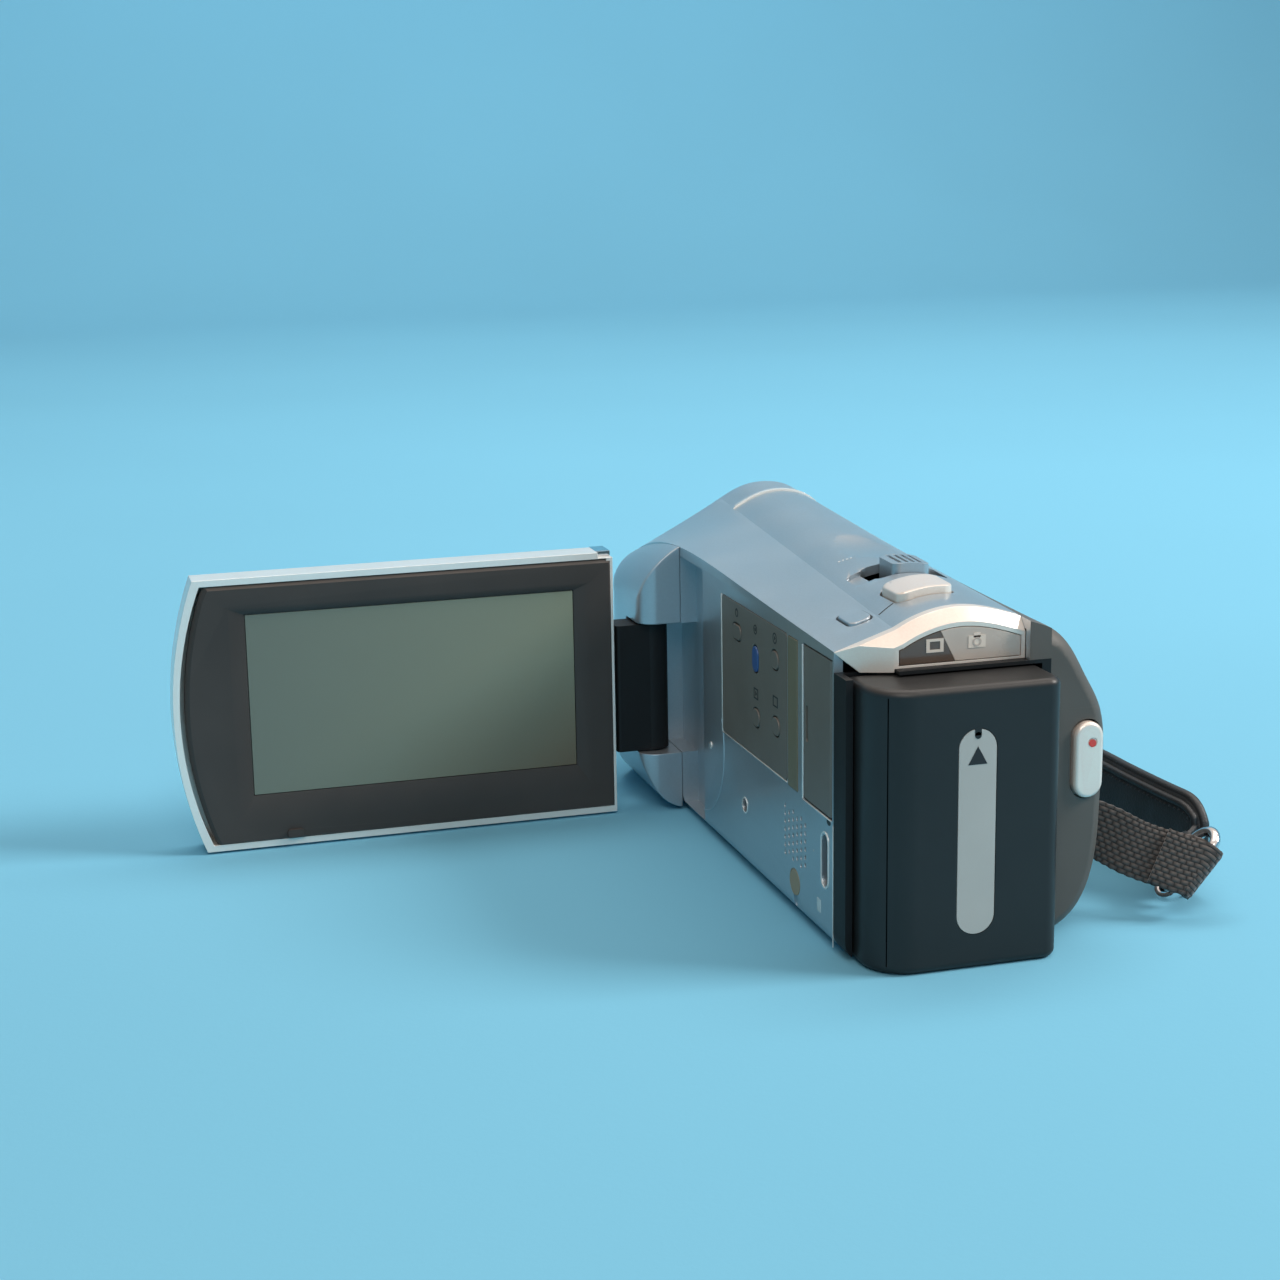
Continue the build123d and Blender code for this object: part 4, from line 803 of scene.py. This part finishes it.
# painted highlight: a thin pale silver strip laid along the front edge of the top, where a highlight runs
lip = {"low": (-4.2, 35.7), "high": (15.6, 36.7), "rows": (48, 6), "thick": 0.34, "edge": 0.12}
lipLine = layOn("coverLip", lip["low"], lip["high"], lip["rows"], lip["thick"], extras["paleSilverAndHighlight"],
                ("front_cabinet", "top_cover"))
applyModifier(lipLine, "BEVEL", width=lip["edge"] * mm, segments=2, limit_method="ANGLE")
layOn("modeLine", (-7.6, -52.5), (-2.0, -52.2), (16, 2), 0.03, extras["inkDark"], skew=24)

guide = {"count": 4, "low": (-2.1, -22.1), "high": (-1.75, -21.75), "step": (0.62, -0.24), "thick": 0.05}
dots = []
for i in range(guide["count"]):
    dotLow = [v + step * i for v, step in zip(guide["low"], guide["step"])]
    dotHigh = [v + step * i for v, step in zip(guide["high"], guide["step"])]
    dots.append(layOn("guideDot%d" % i, dotLow, dotHigh, (3, 3), guide["thick"], extras["paleSilverAndHighlight"]))
joinAll(dots, "guideDots")
print("stage: marks and trims added")


# ring, webbing and pad of the hand strap

strap = {
    "ringCentre": (43.4, -62.4, 8.2), "ringAlong": (0.66, 0, 0.75), "ringLength": 15.0, "ringWidth": 7.4,
    "ringWire": 0.9, "ringSteps": 12, "webWidth": 9.4, "webThick": 0.9, "ringGap": 0.35,
    "loopPoints": 8, "loopStart": -30, "loopStep": 34,
    "rearLine": [
        (22.2, -57.0, 14.6), (27.4, -57.0, 14.6), (30.5, -58.3, 13.6), (34.2, -61.0, 11.6),
        (38.4, -63.0, 10.0),
    ],
    "rearWide": [(0, 0, 1), (0, 0, 1), (0.16, 0.05, 0.98), (0.38, 0.1, 0.92), (0.55, 0.05, 0.84)],
    "tailLine": [(40.4, -65.5, 9.5), (37.4, -63.7, 10.8)],
    "tailWide": [(0.6, 0.03, 0.8), (0.5, 0.05, 0.87)],
    "frontLine": [
        (22.2, 38.0, 16.0), (26.0, 38.0, 16.0), (29.0, 36.8, 15.9), (32.5, 32.0, 15.2), (35.4, 26.4, 13.5),
        (37.6, 19.0, 11.5), (39.4, 12.0, 10.2),
    ],
}


def tube(name, points, radius, closed=False, sides=6):
    curve = bpy.data.curves.new(name, "CURVE")
    curve.dimensions = "3D"
    curve.bevel_depth = radius * mm
    curve.bevel_resolution = sides
    curve.use_fill_caps = True
    curve.resolution_u = 4
    spline = curve.splines.new("NURBS")
    spline.points.add(len(points) - 1)
    for point, at in zip(spline.points, points):
        point.co = (*[v * mm for v in at], 1)
    spline.order_u = 3
    spline.use_cyclic_u = closed
    spline.use_endpoint_u = not closed
    addObject(name, curve)
    bpy.ops.object.convert(target="MESH")
    obj = bpy.context.object
    smooth(obj, 60)
    return obj


ringCentre, ringAlong = Vector(strap["ringCentre"]), Vector(strap["ringAlong"]).normalized()
ringAcross = Vector((0, 1, 0))
bend = strap["ringWidth"] / 2 - strap["ringWire"]
straight = (strap["ringLength"] - strap["ringWidth"]) / 2
ringPoints = []
for end in (1, -1):
    for i in range(strap["ringSteps"] + 1):
        a = math.radians(-90 + 180 * i / strap["ringSteps"])
        away = ringAlong * end * (straight + bend * math.cos(a))
        ringPoints.append(ringCentre + away + ringAcross * end * bend * math.sin(a))
ring = tube("strapRing", ringPoints, strap["ringWire"], closed=True, sides=8)
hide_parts("strap_ring")
place(ring, "camcorder", "chrome")


def flow(points, count):
    # even samples of a smooth line through the points, and its length
    points = [Vector(p) for p in points]
    steps = 24
    fine = []
    for i in range(len(points) - 1):
        a, b = points[max(i - 1, 0)], points[i]
        c, d = points[i + 1], points[min(i + 2, len(points) - 1)]
        for j in range(steps):
            t = j / steps
            start = 2 * b + (c - a) * t + (2 * a - 5 * b + 4 * c - d) * t * t
            fine.append(0.5 * (start + (3 * b - a - 3 * c + d) * t ** 3))
    fine.append(points[-1])
    lengths = [0]
    for p, q in zip(fine, fine[1:]):
        lengths.append(lengths[-1] + (q - p).length)
    out, k = [], 0
    for i in range(count):
        want = lengths[-1] * i / (count - 1)
        while k < len(fine) - 2 and lengths[k + 1] < want:
            k += 1
        part = (want - lengths[k]) / max(lengths[k + 1] - lengths[k], 1e-9)
        out.append(fine[k].lerp(fine[k + 1], min(part, 1)))
    return out, lengths[-1]


ribbonShape = {"columns": 12, "ripple": 0.06, "edgeFall": 0.55}


def ribbon(name, points, widths, width, thick, slotName, count):
    # a woven strap: a rounded flat section carried along the line, with its weave laid out in millimetres
    line, length = flow(points, count)
    wide, _ = flow(widths, count)
    mesh = bpy.data.meshes.new(name)
    section = []
    half, side = width / 2, thick / 2
    columns = ribbonShape["columns"]
    for i in range(columns + 1):
        section.append((-half + width * i / columns, side, i))
    for i in range(columns + 1):
        section.append((half - width * i / columns, -side, columns - i))
    verts, faces = [], []
    for k, at in enumerate(line):
        along = (line[min(k + 1, count - 1)] - line[max(k - 1, 0)]).normalized()
        w = wide[k] - along * wide[k].dot(along)
        w.normalize()
        out = along.cross(w)
        for u, t, _ in section:
            if abs(abs(u) - half) < 0.01:
                # the woven edge is thinner and goes in and out with the threads
                phase = 2 * math.pi * k * length / count / weave["threadPitch"] + (0 if u > 0 else math.pi)
                u += ribbonShape["ripple"] * math.sin(phase)
                t *= ribbonShape["edgeFall"]
            verts.append((at + w * u + out * t) * mm)
    n = len(section)
    for k in range(count - 1):
        for i in range(n):
            j = (i + 1) % n
            faces.append((k * n + i, k * n + j, (k + 1) * n + j, (k + 1) * n + i))
    faces.append(tuple(reversed(range(n))))
    faces.append(tuple((count - 1) * n + i for i in range(n)))
    mesh.from_pydata(verts, [], faces)
    layer = mesh.uv_layers.new(name="weave")
    for face in mesh.polygons:
        for loop in face.loop_indices:
            v = mesh.loops[loop].vertex_index
            layer.data[loop].uv = (section[v % n][2] * width / columns, (v // n) * length / (count - 1))
    obj = addObject(name, mesh)
    bpy.ops.object.mode_set(mode="EDIT")
    bpy.ops.mesh.select_all(action="SELECT")
    bpy.ops.mesh.normals_make_consistent(inside=False)
    bpy.ops.object.mode_set(mode="OBJECT")
    smooth(obj, 60)
    return place(obj, "camcorder", slotName)


# the rear strap goes round the rear side of the ring and folds back on itself
rail = ringCentre - ringAcross * bend
wrap = strap["ringWire"] + strap["ringGap"] + strap["webThick"] / 2
rearLine = list(strap["rearLine"])
rearWide = list(strap["rearWide"])
normal = ringAlong.cross(ringAcross).normalized()
for i in range(strap["loopPoints"]):
    a = math.radians(strap["loopStart"] + strap["loopStep"] * i)
    rearLine.append(tuple(rail + (ringAcross * math.cos(a) - normal * math.sin(a)) * wrap))
    rearWide.append(tuple(ringAlong))
rearLine += strap["tailLine"]
rearWide += strap["tailWide"]
webWidth, webThick = strap["webWidth"], strap["webThick"]
rearStrap = ribbon("rearWebbing", rearLine, rearWide, webWidth, webThick, "nylon_black", 170)
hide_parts("rear_webbing")
frontLine = strap["frontLine"]
frontWide = [(0, 0, 1)] * len(frontLine)
frontStrap = ribbon("frontWebbing", frontLine, frontWide, webWidth, webThick, "nylon_black", 110)
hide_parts("front_webbing")

pad = {
    "path": [
        (48.5, -58.2), (47.4, -48.0), (46.7, -36.0), (46.3, -24.0), (44.3, -8.0), (40.9, 8.0), (36.9, 24.0),
    ],
    "low": 0.9, "high": 17.0, "thick": 2.3, "corner": 5.5, "columns": 150, "rows": 26,
    "crownPower": 5, "endFade": 2.0, "crease": 0.12, "creaseWave": 0.55, "creaseLean": 1.3,
    "creaseSlow": 0.21, "creaseShift": 0.6, "pucker": 0.1, "puckerWave": 2.4, "puckerFrom": 0.6,
    "merge": 0.004, "degenerate": 0.002,
}
padLine, padLength = flow([(x, y, 0) for x, y in pad["path"]], pad["columns"] + 1)


def padPoint(s, h, out):
    # s along the pad in millimetres, h from -1 at the bottom edge to 1 at the top, out across its thickness
    k = min(max(s / padLength, 0), 1) * pad["columns"]
    i = min(int(k), pad["columns"] - 1)
    at = padLine[i].lerp(padLine[i + 1], k - i)
    along = (padLine[i + 1] - padLine[i]).normalized()
    across = Vector((along.y, -along.x, 0))
    if across.x < 0:
        across = -across
    fromEnd = min(s, padLength - s)
    r = pad["corner"]
    drop = 0.0 if fromEnd >= r else r - math.sqrt(max(r * r - (r - fromEnd) ** 2, 0))
    middle = (pad["low"] + pad["high"]) / 2
    half = (pad["high"] - pad["low"]) / 2 - drop
    return at + across * out + Vector((0, 0, middle + half * h))


def padSurface(side):
    # one face of the pad: crowned, with soft creases in the middle and puckers at the seams
    grid = []
    for i in range(pad["columns"] + 1):
        s = padLength * i / pad["columns"]
        endFade = min(1, min(s, padLength - s) / pad["endFade"]) ** 0.5
        row = []
        for j in range(pad["rows"] + 1):
            h = -1 + 2 * j / pad["rows"]
            crown = (1 - abs(h) ** pad["crownPower"]) * endFade
            crease = pad["crease"] * math.sin(s * pad["creaseWave"] + pad["creaseLean"] * h)
            crease *= math.sin(s * pad["creaseSlow"] + pad["creaseShift"]) * (1 - h * h)
            pucker = pad["pucker"] * math.sin(s * pad["puckerWave"]) * max(0, abs(h) - pad["puckerFrom"])
            out = pad["thick"] / 2 * crown + crease * crown + pucker * crown
            row.append(padPoint(s, h, side * out))
        grid.append(row)
    return grid


padVerts, padFaces = [], []
for side in (1, -1):
    base = len(padVerts)
    grid = padSurface(side)
    for row in grid:
        padVerts += [v * mm for v in row]
    n = pad["rows"] + 1
    for i in range(pad["columns"]):
        for j in range(pad["rows"]):
            a = base + i * n + j
            face = (a, a + 1, a + n + 1, a + n)
            padFaces.append(face if side > 0 else face[::-1])
padMesh = bpy.data.meshes.new("strapPad")
padMesh.from_pydata(padVerts, [], padFaces)
strapPad = addObject("strapPad", padMesh)
bpy.ops.object.mode_set(mode="EDIT")
bpy.ops.mesh.select_all(action="SELECT")
bpy.ops.mesh.remove_doubles(threshold=pad["merge"] * mm)
bpy.ops.mesh.dissolve_degenerate(threshold=pad["degenerate"] * mm)
bpy.ops.mesh.normals_make_consistent(inside=False)
bpy.ops.object.mode_set(mode="OBJECT")
smooth(strapPad, 60)
place(strapPad, "camcorder", "leather_black")
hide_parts("strap_pad")


def padLoop(inset, out, count):
    # a closed line round the pad, a given distance in from its edge
    points = []
    quarter = count // 4
    top, side = 1 - 2 * inset / (pad["high"] - pad["low"]), inset
    for i in range(quarter * 2):
        points.append(padPoint(side + (padLength - 2 * side) * i / (quarter * 2 - 1), top, out))
    for i in range(1, quarter // 2):
        points.append(padPoint(padLength - side, top - 2 * top * i / (quarter // 2), out))
    for i in range(quarter * 2):
        points.append(padPoint(padLength - side - (padLength - 2 * side) * i / (quarter * 2 - 1), -top, out))
    for i in range(1, quarter // 2):
        points.append(padPoint(side, -top + 2 * top * i / (quarter // 2), out))
    return points


# piping along the edge, and a roll and a row of stitches inside it: each line's inset and height
edging = {
    "piping": (0.35, 0.55), "pipingRadius": 0.8, "roll": (1.5, -0.75), "rollRadius": 0.62, "points": 128,
    "stitch": (2.7, -1.02), "stitchPoints": 360, "stitchEvery": 3, "stitchRadius": 0.2, "stitchStretch": 2.0,
}
for name, line, radius in (("padPiping", "piping", "pipingRadius"), ("padInnerRoll", "roll", "rollRadius")):
    roll = tube(name, padLoop(*edging[line], edging["points"]), edging[radius], closed=True)
    place(roll, "camcorder", "leather_black")
stitches = padLoop(*edging["stitch"], edging["stitchPoints"])[::edging["stitchEvery"]]
bpy.ops.mesh.primitive_uv_sphere_add(segments=6, ring_count=4, radius=edging["stitchRadius"] * mm)
stitch = bpy.context.object
stitchVerts, stitchFaces = [], []
for point in stitches:
    base = len(stitchVerts)
    for v in stitch.data.vertices:
        stitchVerts.append(Vector((v.co.x, v.co.y * edging["stitchStretch"], v.co.z)) + point * mm)
    stitchFaces += [[base + v for v in f.vertices] for f in stitch.data.polygons]
bpy.data.objects.remove(stitch)
stitchMesh = bpy.data.meshes.new("padStitches")
stitchMesh.from_pydata(stitchVerts, [], stitchFaces)
padStitches = addObject("padStitches", stitchMesh)
smooth(padStitches, 60)
place(padStitches, "camcorder", "leather_black")

# leather tab that joins the pad to the front side of the ring
tabShape = {"width": 8.6, "thick": 1.2, "gap": 0.1, "points": 8, "start": -35, "step": 38}
farRail = ringCentre + ringAcross * bend
tabLine = [padPoint(6.0, 0, -0.2), padPoint(2.5, 0, -0.1)]
tabWide = [(0, 0, 1), (0.2, 0, 0.98)]
for i in range(tabShape["points"]):
    a = math.radians(tabShape["start"] + tabShape["step"] * i)
    tabLine.append(farRail - (normal * math.cos(a) + ringAcross * math.sin(a)) * (wrap + tabShape["gap"]))
    tabWide.append(tuple(ringAlong))
ribbon("padTab", tabLine, tabWide, tabShape["width"], tabShape["thick"], "leather_black", 90)
print("stage: hand strap made")


# camera, lamps, floor

eye = {
    "lens": 64.70, "sensor": 36, "near": 0.01, "far": 20,
    "yaw": 16.004, "pitch": 13.014, "roll": 0.982, "at": (-140.69, -382.04, 130.11),
}
yaw, pitch, roll = (math.radians(eye[k]) for k in ("yaw", "pitch", "roll"))
forward = Vector((math.sin(yaw) * math.cos(pitch), math.cos(yaw) * math.cos(pitch), -math.sin(pitch)))
level = Vector((math.cos(yaw), -math.sin(yaw), 0))
down = forward.cross(level)
right = level * math.cos(roll) + down * math.sin(roll)
below = down * math.cos(roll) - level * math.sin(roll)
bpy.ops.object.camera_add(location=[v * mm for v in eye["at"]])
camera = bpy.context.object
camera.name = "camera"
camera.rotation_euler = Matrix((right, -below, -forward)).transposed().to_euler()
camera.data.lens = eye["lens"]
camera.data.sensor_width = eye["sensor"]
camera.data.clip_start = eye["near"]
camera.data.clip_end = eye["far"]
bpy.context.scene.camera = camera

# each lamp faces the object's middle, or the point that it names
objectMiddle = (0, 0, 0.03)
lamps = {
    "keySoft": {"at": (0.95, -0.38, 0.8), "size": 0.45, "power": 14.0, "colour": (1.0, 0.95, 0.9)},
    "rearSoft": {"at": (-0.3, -0.95, 0.95), "size": 0.7, "power": 5.5, "colour": (1.0, 0.93, 0.86)},
    "topSoft": {"at": (0.15, 0.15, 1.2), "size": 1.0, "power": 3.2, "colour": (1.0, 0.95, 0.9)},
    "wallSoft": {
        "at": (0.25, 0.4, 1.2), "toward": (0.2, 1.6, 0.4), "size": 1.1, "power": 12.0,
        "colour": (1.0, 0.97, 0.94),
    },
}
for name, lamp in lamps.items():
    bpy.ops.object.light_add(type="AREA", location=lamp["at"])
    light = bpy.context.object
    light.name = name
    light.data.size = lamp["size"]
    light.data.energy = lamp["power"]
    light.data.color = lamp["colour"]
    line = Vector(lamp.get("toward", objectMiddle)) - Vector(lamp["at"])
    light.rotation_euler = line.to_track_quat("-Z", "Y").to_euler()

# sheet of paper that lies flat and curves up behind
backdrop = {
    "colour": srgb(122, 190, 219), "spread": 0.015, "cloudScale": 3, "rough": 0.9, "shine": 0.1,
    "fibres": (900, 3, 0.25, 0.1),
    "under": 0.05, "depth": 1.6, "width": 5.0, "rise": 0.95, "bend": 0.5, "bendSegments": 16,
    "farShare": 0.99,
}


def paperMaterial():
    n = Nodes("backdropPaper")
    base = n.clouded(n.noise(backdrop["cloudScale"], detail=2), backdrop["colour"], backdrop["spread"])
    n.set(Base_Color=base, Roughness=backdrop["rough"], Specular_IOR_Level=backdrop["shine"])
    n.swell(*backdrop["fibres"])
    return n.material


bpy.ops.mesh.primitive_plane_add(size=1, location=(0, 0, -backdrop["under"] * mm))
floor = bpy.context.object
floor.name = "paperFloor"
floor.scale = (backdrop["width"], backdrop["depth"] * 2, 1)
settle(floor)
farSide = backdrop["depth"] * backdrop["farShare"] / mm
pickParts(floor, edges=lambda a, b: min(a.y, b.y) > farSide)
bpy.ops.mesh.extrude_region_move(TRANSFORM_OT_translate={"value": (0, 0, backdrop["rise"])})
bpy.ops.object.mode_set(mode="OBJECT")
applyModifier(floor, "BEVEL", width=backdrop["bend"], segments=backdrop["bendSegments"], limit_method="ANGLE")
smooth(floor, 60)
floor.data.materials.append(paperMaterial())

# soft room: blue paper low down, warm ceiling above, seen whole by the camera and by reflections
room = {
    "low": srgb(120, 178, 204), "high": (1.0, 0.86, 0.76), "lowTo": 0.42, "highFrom": 0.62,
    "lightLevel": 0.22, "seenLevel": 1.0,
}
world = bpy.data.worlds.new("softRoom")
bpy.context.scene.world = world
world.use_nodes = True
sky = world.node_tree
direction = sky.nodes.new("ShaderNodeTexCoord")
heights = sky.nodes.new("ShaderNodeSeparateXYZ")
bands = sky.nodes.new("ShaderNodeValToRGB")
bands.color_ramp.elements[0].position = room["lowTo"]
bands.color_ramp.elements[1].position = room["highFrom"]
bands.color_ramp.elements[0].color = (*room["low"], 1)
bands.color_ramp.elements[1].color = (*room["high"], 1)
rays = sky.nodes.new("ShaderNodeLightPath")
seen = sky.nodes.new("ShaderNodeMath")
seen.operation = "MAXIMUM"
levels = sky.nodes.new("ShaderNodeMapRange")
levels.inputs["To Min"].default_value = room["lightLevel"]
levels.inputs["To Max"].default_value = room["seenLevel"]
background = sky.nodes["Background"]
for output, socket in (
    (direction.outputs["Generated"], heights.inputs["Vector"]),
    (heights.outputs["Z"], bands.inputs["Fac"]),
    (bands.outputs["Color"], background.inputs["Color"]),
    (rays.outputs["Is Camera Ray"], seen.inputs[0]),
    (rays.outputs["Is Glossy Ray"], seen.inputs[1]),
    (seen.outputs[0], levels.inputs["Value"]),
    (levels.outputs["Result"], background.inputs["Strength"]),
):
    sky.links.new(output, socket)
bpy.context.scene.view_settings.view_transform = "Standard"
print("stage: camera, lamps and floor placed")
